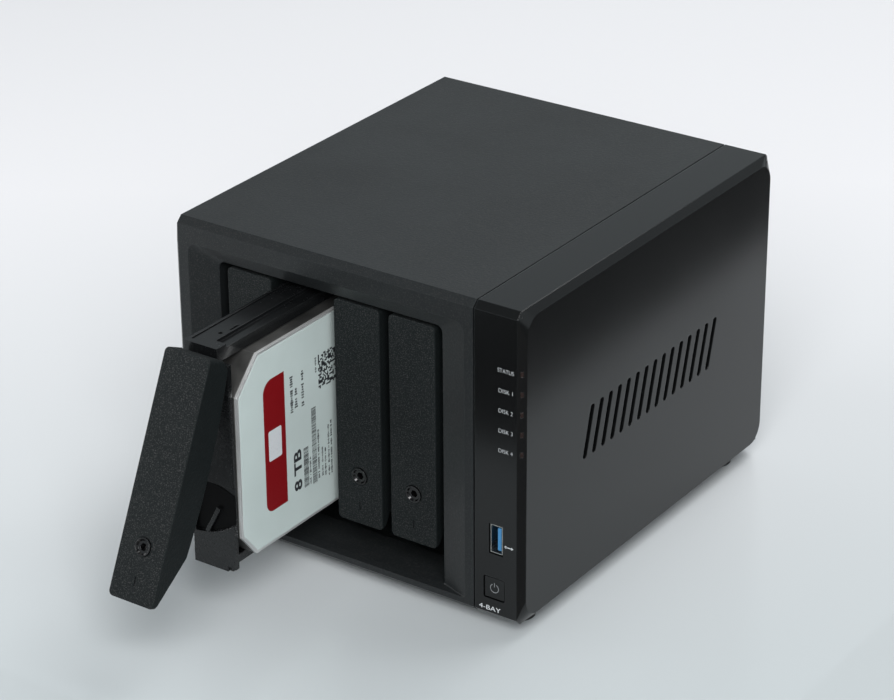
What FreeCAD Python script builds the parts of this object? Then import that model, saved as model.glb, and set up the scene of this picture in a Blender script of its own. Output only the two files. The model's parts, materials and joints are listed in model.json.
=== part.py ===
"""Desktop network attached storage with four pull-out drive trays.

Millimetres, +Z up, +X to the right seen from the front, +Y to the back. The origin is on the table under
the middle of the case. The second tray from the left stands pulled out, with its handle swung open.
"""

import math
import os

import FreeCAD
import Part

from FreeCAD import Vector

# ---------------------------------------------------------------- 3.5-inch drive
DRIVE_L = 147.0
DRIVE_H = 101.6
DRIVE_T = 26.1
DRIVE_Z = 34.0  # lower edge of a drive above the table
DRIVE_PROUD = 0.2  # lid beyond the tray's right side
DRIVE_DECK_T = 9.0  # full-width part of the casting
DRIVE_CORNER_R = 2.0
DRIVE_SCREW_Y = (28.5, 130.1)  # side screw holes, from the front end
DRIVE_SCREW_X = 6.3
DRIVE_SCREW_R = 1.6
LID_T = 1.6
LID_INSET = 0.3
LID_CORNER = 16.5
LABEL_T = 0.12
LABEL_INSET = 1.6
LABEL_CORNER = 15.7
PLUG_UP = 6.0  # socket's lower end above the drive's lower edge
PLUG_L = 42.0
PLUG_T = 4.6
PLUG_DEPTH = 6.5

# ---------------------------------------------------------------- trays and bays
BAYS = 4
TRAY_W = 26.0
TRAY_GAP = 5.1  # between neighbouring trays
TRAY_BELOW_DRIVE = 5.0
TRAY_ABOVE_DRIVE = 7.4
TRAY_LENGTH = 150.0
TRAY_FRONT_GAP = 0.5  # tray front behind the handle's belly
TRAY_FRONT_T = 2.6
TRAY_FRONT_SIDE = 1.8  # front narrower than the tray at its right
TRAY_RAIL_SIDE = 7.6  # rails narrower than the tray at its right
TRAY_RAIL_BOTTOM_T = 4.2
RAIL_CLEAR = 0.4  # between a rail and its drive
CHANNEL_CLEAR = 0.2
CHANNEL_DEPTH = 2.4
STEP_DEPTH = 1.6
PANEL_X = (1.6, 11.2)  # fastening panel across a rail, from the tray's left side
PANEL_T = 1.8
PANEL_HOLES = (12.0, 70.0, 120.0)
PANEL_HOLE_R = 1.1
POCKET_UP = (16.5, 44.5)  # latch pocket above the tray's lower edge
POCKET_SIDE = 1.2
POCKET_DEPTH = 2.0
RAMP_R = 42.0
HOOK_LEAN = 28.0  # degrees
EAR_R = 2.4
EAR_SIDE_CLEAR = 0.5
EAR_CHEEK = 5.0
GUIDE_CLEAR = 0.4
GUIDE_T = 2.0
GUIDE_RIB_CLEAR = 1.05
GUIDE_RIB_H = 6.0
GUIDE_SLOTS = 5
GUIDE_SLOT_PITCH = 26.0
GUIDE_SLOT_L = 16.0
OPEN_TRAY = 2
OPEN_TRAY_PULL = 88.9

# ---------------------------------------------------------------- handles and locks
HANDLE_ABOVE_TRAY = 1.6
HANDLE_ABOVE_TRAY_BOTTOM = 0.3
HANDLE_SET_BACK = 5.0  # handle face behind the case's front
HANDLE_WALL = 1.8
HANDLE_CORNER_R = 2.4
HANDLE_EDGE_R = 0.5
HANDLE_TOP_DEPTH = 14.5
HANDLE_TOP_CUT = 4.5
HANDLE_MID_DEPTH = 18.4
HANDLE_LOW_DEPTH = 16.4
HANDLE_BELLY = 0.42  # deepest point, down the handle
HANDLE_TAPER_H = 24.0
HANDLE_TIP_DEPTH = 2.6
HANDLE_TIP_H = 1.5
GRIP_SOLID_H = 7.0
PIVOT_BEHIND_FACE = 4.6
PIVOT_BELOW_TOP = 12.8
PIN_R = 1.1
PIN_CLEAR = 0.05
PIN_SKIN = 0.6  # wall left outside the pin's blind holes in the handle
PIN_END_CLEAR = 0.15
LOCK_UP = 26.0  # lock above the tray's lower edge
LOCK_R = 4.3
LOCK_CLEAR = 0.08
LOCK_LENGTH = 7.6
LOCK_PROUD = 0.45
LOCK_RIM = 0.7
LOCK_KEY_R = 1.9
LOCK_KEY_DEPTH = 4.5
LOCK_BOSS_WALL = 1.8
LOCK_CAM = (7.0, 2.2, 1.5)  # reach, half width, thickness
LOCK_MARK_DOWN = 16.0
LOCK_MARK = (0.9, 4.6, 0.7)  # width, height, depth
OPEN_HANDLE_ANGLE = 24.8  # degrees

# ---------------------------------------------------------------- case round the bays
CASE_D = 223.0
FOOT_H = 6.0
WALL = 2.5
SIDE_MARGIN = 24.0  # left side to the mouth
SEAM_MARGIN = 20.2  # mouth to the seam
TOP_MARGIN = 19.4  # mouth to the top
STRIP_W = 26.1  # control strip, right of the seam
EDGE_BEVEL = 3.2  # bevel round both side faces and along the front edges
BACK_BEVEL = 1.4  # smaller at the back, where the walls end
SIDE_CORNER_R = 10.0  # corners of the flat part of a side face
SEAM_GAP = 0.8
LIP_OVERLAP = 2.8
LIP_T = 2.0
LIP_CLEAR = 0.3
MOUTH_SIDE_GAP = 4.5  # from an outer tray to the side of the mouth
MOUTH_BOTTOM_Z = 12.6
MOUTH_TOP_GAP = 2.0  # above the handles
MOUTH_CORNER_R = 3.5
MOUTH_SILL_R = 1.0
MOUTH_DEPTH = 26.5  # from the case's front to the end of the mouth's walls
BEZEL_SIDE = 15.0  # width of the sloped faces beside the mouth
BEZEL_TOP = 7.6
BEZEL_SILL = 0.4
BEZEL_DEPTH = 4.7
BEZEL_CORNER_R = 5.5
BEZEL_WALL = 2.0
FOOT_R = 9.0
FOOT_PEG_R = 3.0
FOOT_IN = (15.0, 20.0)  # feet in from the sides and from the ends
SLOT_DOOR_X = [(-62.0, -20.0), (-6.0, 36.0)]
SLOT_DOOR_Y = (-40.0, 52.0)
SLOT_DOOR_GAP = 0.2
SLOT_LEDGE_T = 1.2
CAGE_WALL_T = 1.2
CAGE_CLEAR = 0.3

# ---------------------------------------------------------------- control strip
BUTTON_FROM_SIDE = 15.5
BUTTON_Z = 22.5
BUTTON_W = 11.9
BUTTON_GAP = 0.45
BUTTON_TRAVEL = 1.0
BUTTON_FLANGE = 1.2
BUTTON_STEM_R = 2.0
USB_FROM_SIDE = 14.4
USB_Z = 48.75
USB_W = 6.6
USB_H = 14.7
USB_SHEET_T = 0.4
USB_TONGUE_T = 1.9
LIGHTS = 5
LIGHT_BELOW_TOP = 29.9
LIGHT_PITCH = 10.1
LIGHT_H = 2.4
LIGHT_W = 1.5
LIGHT_L = 7.0
LIGHT_CLEAR = 0.1
VENT_SLOTS = 15
VENT_PITCH = 8.0
VENT_SLOT_W = 3.6
VENT_H = 26.0
VENT_BELOW_MIDDLE = 1.0
VENT_SLANT = 15.0  # degrees from upright

# ---------------------------------------------------------------- back and electronics
REAR_PANEL_T = 1.2
REAR_PANEL_INSET = 1.8
PANEL_CLEAR = 0.4
SCREW_R = 1.5
SCREW_CLEAR = 0.15
SCREW_IN = (9.0, 6.1)  # panel screws in from the sides and from the top and base
POST_REACH = 13.0
POST_HALF = 3.4
POST_DEPTH = 12.0
FAN_SIZE = 92.0
FAN_T = 25.0
FAN_GAP = 1.6  # between the two fans
FAN_BELOW_TOP = 56.0
FAN_HOLE_PITCH = 82.5
FAN_BORE_R = 43.0
FAN_BLADE_R = 41.3
FAN_HUB_R = 18.0
FAN_SEAT_R = 16.0
FAN_SEAT_T = 3.5
FAN_SHAFT_R = 1.5
FAN_SCREW_R = 2.1
FAN_BLADES = 7
FAN_PITCH = 36.0  # degrees
GRILLE_R = 42.0
GRILLE_RINGS = (36.5, 30.0, 23.5, 17.0)
GRILLE_RING_W = 1.8
GRILLE_HUB_R = 10.5
GRILLE_SPOKE_W = 2.4
PORT_CLEAR = 0.3
PORTS = {  # name: (left, right, bottom, top) across the rear panel
    "power_jack": (-72.0, -60.0, 18.0, 30.0),
    "esata_port": (-38.0, -22.0, 18.0, 24.5),
    "rear_usb_port": (-6.0, 8.4, 18.0, 25.0),
    "lan_1": (20.0, 36.2, 17.0, 31.0),
    "lan_2": (42.0, 58.2, 17.0, 31.0),
}
RESET_X, RESET_Z = 68.0, 22.0
RESET_R = 0.9
RESET_HOLE_R = 1.2
LOCK_SLOT = (9.5, 40.0, 3.0, 7.0)  # from the left side, height, width, length
BOARD_T = 1.6
MAIN_BOARD_Z = 14.5
MAIN_BOARD_POST_R = 3.2
MEMORY_LEVELS = 2
MEMORY_RISE = 7.0
MEMORY_Y = (-40.0, 30.0)
MEMORY_W = 26.0
SINK_X = (-36.0, 6.0)
SINK_FINS = 11
SINK_FIN_T = 1.4

CUT = 1.0  # how far a cutting form runs past the face it opens

# ---------------------------------------------------------------- places that follow from the sizes
BAY_PITCH = TRAY_W + TRAY_GAP
MOUTH_W = 2 * MOUTH_SIDE_GAP + TRAY_W + (BAYS - 1) * BAY_PITCH
CASE_W = SIDE_MARGIN + MOUTH_W + SEAM_MARGIN + SEAM_GAP / 2 + STRIP_W
TRAY_BOTTOM_Z = DRIVE_Z - TRAY_BELOW_DRIVE
TRAY_TOP_Z = DRIVE_Z + DRIVE_H + TRAY_ABOVE_DRIVE
HANDLE_BOTTOM_Z = TRAY_BOTTOM_Z + HANDLE_ABOVE_TRAY_BOTTOM
HANDLE_TOP_Z = TRAY_TOP_Z + HANDLE_ABOVE_TRAY
HANDLE_H = HANDLE_TOP_Z - HANDLE_BOTTOM_Z
MOUTH_TOP_Z = HANDLE_TOP_Z + MOUTH_TOP_GAP
CASE_H = MOUTH_TOP_Z + TOP_MARGIN
LEFT, RIGHT = -CASE_W / 2, CASE_W / 2
FRONT, BACK = -CASE_D / 2, CASE_D / 2
SEAM_X = RIGHT - STRIP_W - SEAM_GAP / 2
MOUTH_LEFT = LEFT + SIDE_MARGIN
MOUTH_RIGHT = MOUTH_LEFT + MOUTH_W
BAY_1_X = MOUTH_LEFT + MOUTH_SIDE_GAP + TRAY_W / 2
HANDLE_Y = FRONT + HANDLE_SET_BACK
PIVOT_Y = HANDLE_Y + PIVOT_BEHIND_FACE
PIVOT_Z = HANDLE_TOP_Z - PIVOT_BELOW_TOP
LOCK_Z = TRAY_BOTTOM_Z + LOCK_UP
LOCK_MARK_Z = LOCK_Z - LOCK_MARK_DOWN
TRAY_FRONT_Y = HANDLE_Y + HANDLE_MID_DEPTH + TRAY_FRONT_GAP
TRAY_RAIL_W = TRAY_W - TRAY_RAIL_SIDE
POCKET_Z = (TRAY_BOTTOM_Z + POCKET_UP[0], TRAY_BOTTOM_Z + POCKET_UP[1])
DRIVE_Y = TRAY_FRONT_Y + TRAY_FRONT_T + RAIL_CLEAR
PLUG_Z = DRIVE_Z + PLUG_UP
PANEL_Y = BACK - REAR_PANEL_INSET - REAR_PANEL_T
PANEL_BACK_Y = PANEL_Y + REAR_PANEL_T
PANEL_SCREW_X = CASE_W / 2 - SCREW_IN[0]
PANEL_SCREW_Z = (FOOT_H + SCREW_IN[1], CASE_H - SCREW_IN[1])
FAN_X = (FAN_SIZE + FAN_GAP) / 2
FAN_Z = CASE_H - FAN_BELOW_TOP
FAN_Y = PANEL_Y - FAN_T
FAN_SEAT_Y = PANEL_Y - FAN_SEAT_T
BACKPLANE_Y = DRIVE_Y + DRIVE_L + 2.0
LOWER_GUIDE_TOP = TRAY_BOTTOM_Z - GUIDE_CLEAR
UPPER_GUIDE_Z = TRAY_TOP_Z + GUIDE_CLEAR
GUIDE_RIB_W = TRAY_GAP - 2 * GUIDE_RIB_CLEAR
CAGE_Y = FRONT + MOUTH_DEPTH + 0.2
CAGE_END_Y = BACKPLANE_Y - 0.2
CAGE_LEFT = MOUTH_LEFT - CAGE_CLEAR
CAGE_RIGHT = MOUTH_RIGHT + CAGE_CLEAR
CAGE_TOP_Z = UPPER_GUIDE_Z + GUIDE_T + 2.0
FLOOR_Z = FOOT_H + WALL
CEILING_Z = CASE_H - WALL
BUTTON_X = RIGHT - BUTTON_FROM_SIDE
USB_X = RIGHT - USB_FROM_SIDE
LIGHT_TOP_Z = CASE_H - LIGHT_BELOW_TOP
VENT_Z = (FOOT_H + CASE_H) / 2 - VENT_BELOW_MIDDLE
FOOT_PLACES = [(sx * (CASE_W / 2 - FOOT_IN[0]), sy * (CASE_D / 2 - FOOT_IN[1]))
               for sx in (-1, 1) for sy in (-1, 1)]
MAIN_BOARD = (MOUTH_LEFT + 1.0, RIGHT - 16.0, FRONT + 45.0, BACK - 7.0)
MAIN_BOARD_POSTS = [(x, y) for x in (MAIN_BOARD[0] + 5.0, SEAM_X - 8.0)
                    for y in (MAIN_BOARD[2] + 5.0, SLOT_DOOR_Y[1] + 30.0)]
MAIN_BOARD_TOP = MAIN_BOARD_Z + BOARD_T
MEMORY_X = (CAGE_RIGHT + 3.0, CAGE_RIGHT + 3.0 + MEMORY_W)
RESET_BODY_Y = (PANEL_Y - 9.0, PANEL_Y - 3.0)
FRONT_BOARD_Y = FRONT + 14.5
SWITCH_Y = FRONT_BOARD_Y - 3.4


# ---------------------------------------------------------------- helpers
def block(x0, x1, y0, y1, z0, z1):
    """A box between two corners."""
    return Part.makeBox(x1 - x0, y1 - y0, z1 - z0, Vector(x0, y0, z0))


def rod(radius, start, end):
    """A round bar from one point to another."""
    axis = Vector(*end) - Vector(*start)
    return Part.makeCylinder(radius, axis.Length, Vector(*start), axis)


def prism(points, depth):
    """A flat outline pushed along a vector."""
    corners = [Vector(*p) for p in points]
    return Part.Face(Part.makePolygon(corners + corners[:1])).extrude(Vector(*depth))


def rounded_wire(x0, x1, z0, z1, y, radius, low_radius=None):
    """A rounded rectangle in the XZ plane, with eight edges."""
    low = radius if low_radius is None else low_radius
    k = 1 - math.sqrt(0.5)

    def arc(a, b, c):
        return Part.Arc(Vector(*a), Vector(*b), Vector(*c)).toShape()

    def line(a, b):
        return Part.makeLine(Vector(*a), Vector(*b))

    return Part.Wire([
        line((x0 + low, y, z0), (x1 - low, y, z0)),
        arc((x1 - low, y, z0), (x1 - low * k, y, z0 + low * k), (x1, y, z0 + low)),
        line((x1, y, z0 + low), (x1, y, z1 - radius)),
        arc((x1, y, z1 - radius), (x1 - radius * k, y, z1 - radius * k), (x1 - radius, y, z1)),
        line((x1 - radius, y, z1), (x0 + radius, y, z1)),
        arc((x0 + radius, y, z1), (x0 + radius * k, y, z1 - radius * k), (x0, y, z1 - radius)),
        line((x0, y, z1 - radius), (x0, y, z0 + low)),
        arc((x0, y, z0 + low), (x0 + low * k, y, z0 + low * k), (x0 + low, y, z0)),
    ])


def rounded_plate(x0, x1, y0, y1, z0, z1, radius):
    """A plate standing in the XZ plane, with rounded corners."""
    return Part.Face(rounded_wire(x0, x1, z0, z1, y0, radius)).extrude(Vector(0, y1 - y0, 0))


def side_wire(x, inset, back_inset, corner, back_corner, arcs):
    """The case's outline seen from the side, with eight edges: cut corners, or round ones."""
    y0, y1 = FRONT + inset, BACK - back_inset
    z0, z1 = FOOT_H + inset, CASE_H - inset
    k = 1 - math.sqrt(0.5)
    edges, starts, ends = [], [], []
    corners = [(y0, z0, 1, 1), (y1, z0, -1, 1), (y1, z1, -1, -1), (y0, z1, 1, -1)]
    for number, (y, z, sy, sz) in enumerate(corners):
        corner_size = corner if sy > 0 else back_corner
        along_y = Vector(x, y + sy * corner_size, z)
        along_z = Vector(x, y, z + sz * corner_size)
        first, last = (along_z, along_y) if number % 2 == 0 else (along_y, along_z)
        middle = Vector(x, y + sy * corner_size * k, z + sz * corner_size * k)
        turn = Part.Arc(first, middle, last).toShape() if arcs else Part.makeLine(first, last)
        edges.append(turn)
        starts.append(first)
        ends.append(last)
    wire = []
    for number in range(4):
        wire.append(edges[number])
        wire.append(Part.makeLine(ends[number], starts[(number + 1) % 4]))
    return Part.Wire(wire)


def case_solid():
    """The closed outer form of the case, bevelled round both sides."""
    middle = Part.Face(side_wire(LEFT + EDGE_BEVEL, 0, 0, EDGE_BEVEL, BACK_BEVEL, False))
    body = middle.extrude(Vector(CASE_W - 2 * EDGE_BEVEL, 0, 0))
    for x_side, x_edge in ((LEFT, LEFT + EDGE_BEVEL), (RIGHT, RIGHT - EDGE_BEVEL)):
        outline = side_wire(x_edge, 0, 0, EDGE_BEVEL, BACK_BEVEL, False)
        face = side_wire(x_side, EDGE_BEVEL, BACK_BEVEL, SIDE_CORNER_R, SIDE_CORNER_R, True)
        body = body.fuse(Part.makeLoft([outline, face], True, True))
    return body


def tray_x(number):
    """Left and right sides of a tray."""
    middle = BAY_1_X + (number - 1) * BAY_PITCH
    return middle - TRAY_W / 2, middle + TRAY_W / 2


def place_tray(shape, number):
    """Trays are drawn pushed in; the open one is pulled out."""
    if number == OPEN_TRAY:
        shape.translate(Vector(0, -OPEN_TRAY_PULL, 0))
    return shape


def place_handle(shape, number):
    """Handles are drawn shut; the open one is swung about its pin and goes out with its tray."""
    if number == OPEN_TRAY:
        shape.rotate(Vector(0, PIVOT_Y, PIVOT_Z), Vector(-1, 0, 0), OPEN_HANDLE_ANGLE)
    return place_tray(shape, number)


def pan_screw(radius, length, head, direction):
    """A pan-head screw with a cross recess: its head's seat is at the point head."""
    axis = Vector(*direction)
    seat = Vector(*head)
    head_r, head_h = radius * 1.9, radius * 1.1
    top = Part.makeCylinder(head_r, head_h, seat, axis)
    rim = [edge for edge in top.Edges if abs(edge.BoundBox.Center.sub(seat).dot(axis) - head_h) < 0.01]
    top = top.makeFillet(head_h * 0.4, rim[:1])
    shank = Part.makeCylinder(radius, length, seat, axis.negative())
    body = top.fuse(shank)
    slot_l, slot_w, slot_d = head_r * 1.1, radius * 0.5, head_h * 0.6
    upright = Vector(0, 0, 1) if abs(axis.z) < 0.5 else Vector(0, 1, 0)
    across = axis.cross(upright)
    for along, side in ((upright, across), (across, upright)):
        size = [
            abs(along[i]) * slot_l + abs(side[i]) * slot_w + abs(axis[i]) * slot_d * 2
            for i in range(3)
        ]
        corner = seat + axis * head_h - Vector(*size) * 0.5
        body = body.cut(Part.makeBox(size[0], size[1], size[2], corner))
    return body


# ---------------------------------------------------------------- covers
def mouth_form(grow, y_front, y_end):
    """The sloped bezel and the straight mouth behind it, as one solid grown by a wall."""
    outer = rounded_wire(MOUTH_LEFT - BEZEL_SIDE - grow, MOUTH_RIGHT + BEZEL_SIDE + grow,
                         MOUTH_BOTTOM_Z - BEZEL_SILL - grow, MOUTH_TOP_Z + BEZEL_TOP + grow,
                         y_front, BEZEL_CORNER_R, MOUTH_SILL_R)
    inner = rounded_wire(MOUTH_LEFT - grow, MOUTH_RIGHT + grow,
                         MOUTH_BOTTOM_Z - grow, MOUTH_TOP_Z + grow,
                         y_front + BEZEL_DEPTH, MOUTH_CORNER_R, MOUTH_SILL_R)
    slope = Part.makeLoft([outer, inner], True, True)
    y_mouth = y_front + BEZEL_DEPTH
    straight = Part.Face(inner).extrude(Vector(0, y_end - y_mouth, 0))
    return slope.fuse(straight)


def screw_post(x, z, toward_x):
    """A post on a side wall behind the rear panel, drilled for a panel screw."""
    wall = toward_x * (CASE_W / 2 - WALL / 2)
    x0, x1 = sorted((wall, x - toward_x * (POST_REACH / 2 - SCREW_R)))
    post = block(x0, x1, PANEL_Y - POST_DEPTH, PANEL_Y, z - POST_HALF, z + POST_HALF)
    return post.cut(rod(SCREW_R, (x, PANEL_Y - POST_DEPTH + 2, z), (x, PANEL_Y + CUT, z)))


def main_cover():
    """Left side, top and base in one shell, with the bezel round the drive bays."""
    seam = SEAM_X - SEAM_GAP / 2
    shell = case_solid().common(block(LEFT - CUT, seam, FRONT - CUT, BACK + CUT, 0, CASE_H + CUT))
    inside = block(LEFT + WALL, seam + CUT, FRONT + WALL, BACK + CUT, FLOOR_Z, CEILING_Z)
    shell = shell.cut(inside)
    mouth_end = FRONT + MOUTH_DEPTH
    bezel = mouth_form(BEZEL_WALL, FRONT + 0.6, mouth_end)
    shell = shell.fuse(bezel).cut(mouth_form(0, FRONT - 0.001, mouth_end + CUT))
    for x, y in MAIN_BOARD_POSTS:
        shell = shell.fuse(rod(MAIN_BOARD_POST_R, (x, y, FLOOR_Z - 0.1), (x, y, MAIN_BOARD_Z)))
        shell = shell.cut(rod(SCREW_R * 0.8, (x, y, FLOOR_Z), (x, y, MAIN_BOARD_Z + CUT)))
    for z in PANEL_SCREW_Z:
        shell = shell.fuse(screw_post(-PANEL_SCREW_X, z, -1))
    for x0, x1 in SLOT_DOOR_X:
        shell = shell.cut(block(x0, x1, SLOT_DOOR_Y[0], SLOT_DOOR_Y[1], FOOT_H - CUT, FLOOR_Z + CUT))
        shell = shell.fuse(slot_ledge(x0, x1))
    for x, y in FOOT_PLACES:
        if x < 0:
            shell = shell.cut(rod(FOOT_PEG_R, (x, y, FOOT_H - CUT), (x, y, FLOOR_Z + CUT)))
    return shell


def vent_slot(y):
    """One slanted slot with rounded corners, through the right side."""
    lean = VENT_H / 2 * math.tan(math.radians(VENT_SLANT))
    half = VENT_SLOT_W / 2
    z0, z1 = VENT_Z - VENT_H / 2, VENT_Z + VENT_H / 2
    x = RIGHT - WALL - CUT
    points = [(x, y - lean - half, z0), (x, y - lean + half, z0),
              (x, y + lean + half, z1), (x, y + lean - half, z1)]
    slot = prism(points, (WALL + 3 * CUT, 0, 0))
    return slot.makeFillet(half * 0.8, [e for e in slot.Edges if e.BoundBox.XLength > WALL])


def light_places():
    """Heights of the five lights, from the top."""
    return [LIGHT_TOP_Z - number * LIGHT_PITCH for number in range(LIGHTS)]


def light_form(z, grow, length, beyond=0.0):
    """A bar square to the front bevel of the right side, which ends flush with it or beyond it."""
    bevel_middle = Vector(RIGHT - EDGE_BEVEL / 2, FRONT + EDGE_BEVEL / 2, z)
    half_w, half_h = LIGHT_W / 2 + grow, LIGHT_H / 2 + grow
    bar = Part.makeBox(length + beyond, 2 * half_w, 2 * half_h, Vector(-length, -half_w, -half_h))
    bar.rotate(Vector(0, 0, 0), Vector(0, 0, 1), -45)
    bar.translate(bevel_middle)
    return bar


def side_cover():
    """Right side with the control strip: vent, lights, button and port openings."""
    seam = SEAM_X + SEAM_GAP / 2
    shell = case_solid().common(block(seam, RIGHT + CUT, FRONT - CUT, BACK + CUT, 0, CASE_H + CUT))
    y0, z0, z1 = FRONT + WALL, FLOOR_Z, CEILING_Z
    shell = shell.cut(block(seam - CUT, RIGHT - WALL, y0, BACK + CUT, z0, z1))
    lip_end = PANEL_Y - PANEL_CLEAR
    root = block(seam, seam + LIP_T, y0 - 0.1, lip_end, z0 - 0.1, z1 + 0.1)
    tongue = block(
        seam - LIP_OVERLAP, seam + LIP_T, y0 + LIP_CLEAR, lip_end, z0 + LIP_CLEAR, z1 - LIP_CLEAR
    )
    hollow = block(seam - 5, seam + 5, y0 + LIP_T, BACK, z0 + LIP_T, z1 - LIP_T)
    shell = shell.fuse(root.fuse(tongue).cut(hollow))
    middle = -(VENT_SLOTS - 1) / 2
    for number in range(VENT_SLOTS):
        shell = shell.cut(vent_slot((middle + number) * VENT_PITCH))
    for z in light_places():
        shell = shell.cut(light_form(z, LIGHT_CLEAR, LIGHT_L + 1, CUT))
    half = BUTTON_W / 2
    shell = shell.cut(rounded_plate(BUTTON_X - half, BUTTON_X + half, FRONT - CUT, y0 + CUT,
                                    BUTTON_Z - half, BUTTON_Z + half, 1.0))
    gap = 2 * PORT_CLEAR
    shell = shell.cut(block(USB_X - USB_W / 2 - gap, USB_X + USB_W / 2 + gap, FRONT - CUT, y0 + CUT,
                            USB_Z - USB_H / 2 - gap, USB_Z + USB_H / 2 + gap))
    for z in PANEL_SCREW_Z:
        shell = shell.fuse(screw_post(PANEL_SCREW_X, z, 1))
    for x, y in FOOT_PLACES:
        if x > 0:
            shell = shell.cut(rod(FOOT_PEG_R, (x, y, FOOT_H - CUT), (x, y, FLOOR_Z + CUT)))
    return shell


# ---------------------------------------------------------------- base details
def feet():
    """Four round rubber feet with pegs that sit in the base."""
    made = []
    for x, y in FOOT_PLACES:
        pad = Part.makeCone(FOOT_R - 1.0, FOOT_R, FOOT_H, Vector(x, y, 0))
        made.append(pad.fuse(rod(FOOT_PEG_R, (x, y, FOOT_H), (x, y, FLOOR_Z))))
    return Part.makeCompound(made)


def slot_ledge(x0, x1):
    """A frame inside the base that a slot door rests against."""
    y0, y1 = SLOT_DOOR_Y
    z, rim = FLOOR_Z, 2.0
    ring = block(x0 - rim, x1 + rim, y0 - rim, y1 + rim, z - 0.2, z + SLOT_LEDGE_T)
    ring = ring.cut(block(x0 - 0.01, x1 + 0.01, y0 - 0.01, y1 + 0.01, z - CUT, z))
    return ring.cut(block(x0 + rim, x1 - rim, y0 + rim, y1 - rim, z - CUT, z + SLOT_LEDGE_T + CUT))


def slot_doors():
    """Two clip-in doors under the base, each with a finger notch."""
    made = []
    gap, notch_r, notch_l = SLOT_DOOR_GAP, 6.0, 9.0
    for x0, x1 in SLOT_DOOR_X:
        y0, y1 = SLOT_DOOR_Y
        middle, notch_z = (x0 + x1) / 2, FOOT_H - notch_r * 0.7
        door = block(x0 + gap, x1 - gap, y0 + gap, y1 - gap, FOOT_H, FLOOR_Z)
        notch = rod(notch_r, (middle, y0 - CUT, notch_z), (middle, y0 + notch_l, notch_z))
        made.append(door.cut(notch))
    return Part.makeCompound(made)


# ---------------------------------------------------------------- drive cage
def cage_wall(x0, z0, window):
    """A sheet wall beside the bays, with a cooling or card window."""
    wall = block(x0, x0 + CAGE_WALL_T, CAGE_Y, CAGE_END_Y, z0, CAGE_TOP_Z)
    y0, y1, wz0, wz1 = window
    hole = rounded_plate(y0, y1, 0, CAGE_WALL_T + 2 * CUT, wz0, wz1, 5.0)
    hole.rotate(Vector(0, 0, 0), Vector(0, 0, 1), 90)
    hole.translate(Vector(x0 + CAGE_WALL_T + CUT, 0, 0))
    return wall.cut(hole)


def gap_middles():
    """The middles of the gaps beside the trays, where the guide ribs stand."""
    left_gaps = [tray_x(number)[0] - TRAY_GAP / 2 for number in range(1, BAYS + 1)]
    return left_gaps + [tray_x(BAYS)[1] + TRAY_GAP / 2]


def guide_plate(z0, z1, rib_z0, rib_z1):
    """A plate above or below the trays, with a rib in every gap."""
    plate = block(CAGE_LEFT, CAGE_RIGHT, CAGE_Y, CAGE_END_Y, z0, z1)
    rib_end_y, side = CAGE_END_Y - 8, 8.0
    for x in gap_middles():
        rib = block(x - GUIDE_RIB_W / 2, x + GUIDE_RIB_W / 2, CAGE_Y, rib_end_y, rib_z0, rib_z1)
        plate = plate.fuse(rib)
    for number in range(1, BAYS + 1):
        x0, x1 = tray_x(number)
        for place in range(GUIDE_SLOTS):
            y = CAGE_Y + GUIDE_SLOT_L + 2 + place * GUIDE_SLOT_PITCH
            plate = plate.cut(block(x0 + side, x1 - side, y, y + GUIDE_SLOT_L, z0 - CUT, z1 + CUT))
    return plate


def lower_guide():
    """Plate that the trays slide on."""
    z1 = LOWER_GUIDE_TOP
    return guide_plate(z1 - GUIDE_T, z1, z1 - GUIDE_T, z1 + GUIDE_RIB_H)


def upper_guide():
    """Plate over the trays."""
    z0 = UPPER_GUIDE_Z
    return guide_plate(z0, z0 + GUIDE_T, z0 - GUIDE_RIB_H, z0 + GUIDE_T)


# ---------------------------------------------------------------- trays
def latch_pocket(number):
    """Cavity in a tray's front for the handle's latch: a concave ramp at its foot, a hook in it."""
    x0, x1 = tray_x(number)
    y0, z0 = TRAY_FRONT_Y, POCKET_Z[0]
    front_x1 = x1 - TRAY_FRONT_SIDE
    pocket = block(x0 + POCKET_SIDE, front_x1 + CUT, y0 - CUT, y0 + POCKET_DEPTH, z0, POCKET_Z[1])
    ramp_x, ramp_z = x0 - 1.5, z0 + RAMP_R
    ramp = rod(RAMP_R, (ramp_x, y0 - 2 * CUT, ramp_z), (ramp_x, y0 + 3 * CUT, ramp_z))
    hook = block(x0 + 9, x0 + 11, y0 + 0.3, y0 + POCKET_DEPTH + 0.4, z0 + 0.5, z0 + 16.5)
    hook.rotate(Vector(x0 + 10, y0, z0 + 5.5), Vector(0, 1, 0), HOOK_LEAN)
    room = block(x0 + POCKET_SIDE, front_x1, y0, y0 + TRAY_FRONT_T, z0 - 6.5, POCKET_Z[1])
    return pocket.common(ramp), hook.common(room)


def handle_ear(number):
    """Forked ear on a tray's front that carries the handle's pin."""
    x0, x1 = tray_x(number)
    side = HANDLE_WALL + EAR_SIDE_CLEAR
    ear_x0, ear_x1 = x0 + side, x1 - side
    root_y = TRAY_FRONT_Y + 0.5
    ear = rod(EAR_R, (ear_x0, PIVOT_Y, PIVOT_Z), (ear_x1, PIVOT_Y, PIVOT_Z))
    ear = ear.fuse(block(ear_x0, ear_x1, PIVOT_Y, root_y, PIVOT_Z - EAR_R, PIVOT_Z + EAR_R))
    ear = ear.cut(block(ear_x0 + EAR_CHEEK, ear_x1 - EAR_CHEEK, PIVOT_Y - 2 * EAR_R, TRAY_FRONT_Y - 2.0,
                        PIVOT_Z - 2 * EAR_R, PIVOT_Z + 2 * EAR_R))
    return ear.cut(rod(PIN_R, (x0, PIVOT_Y, PIVOT_Z), (x1, PIVOT_Y, PIVOT_Z)))


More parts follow.
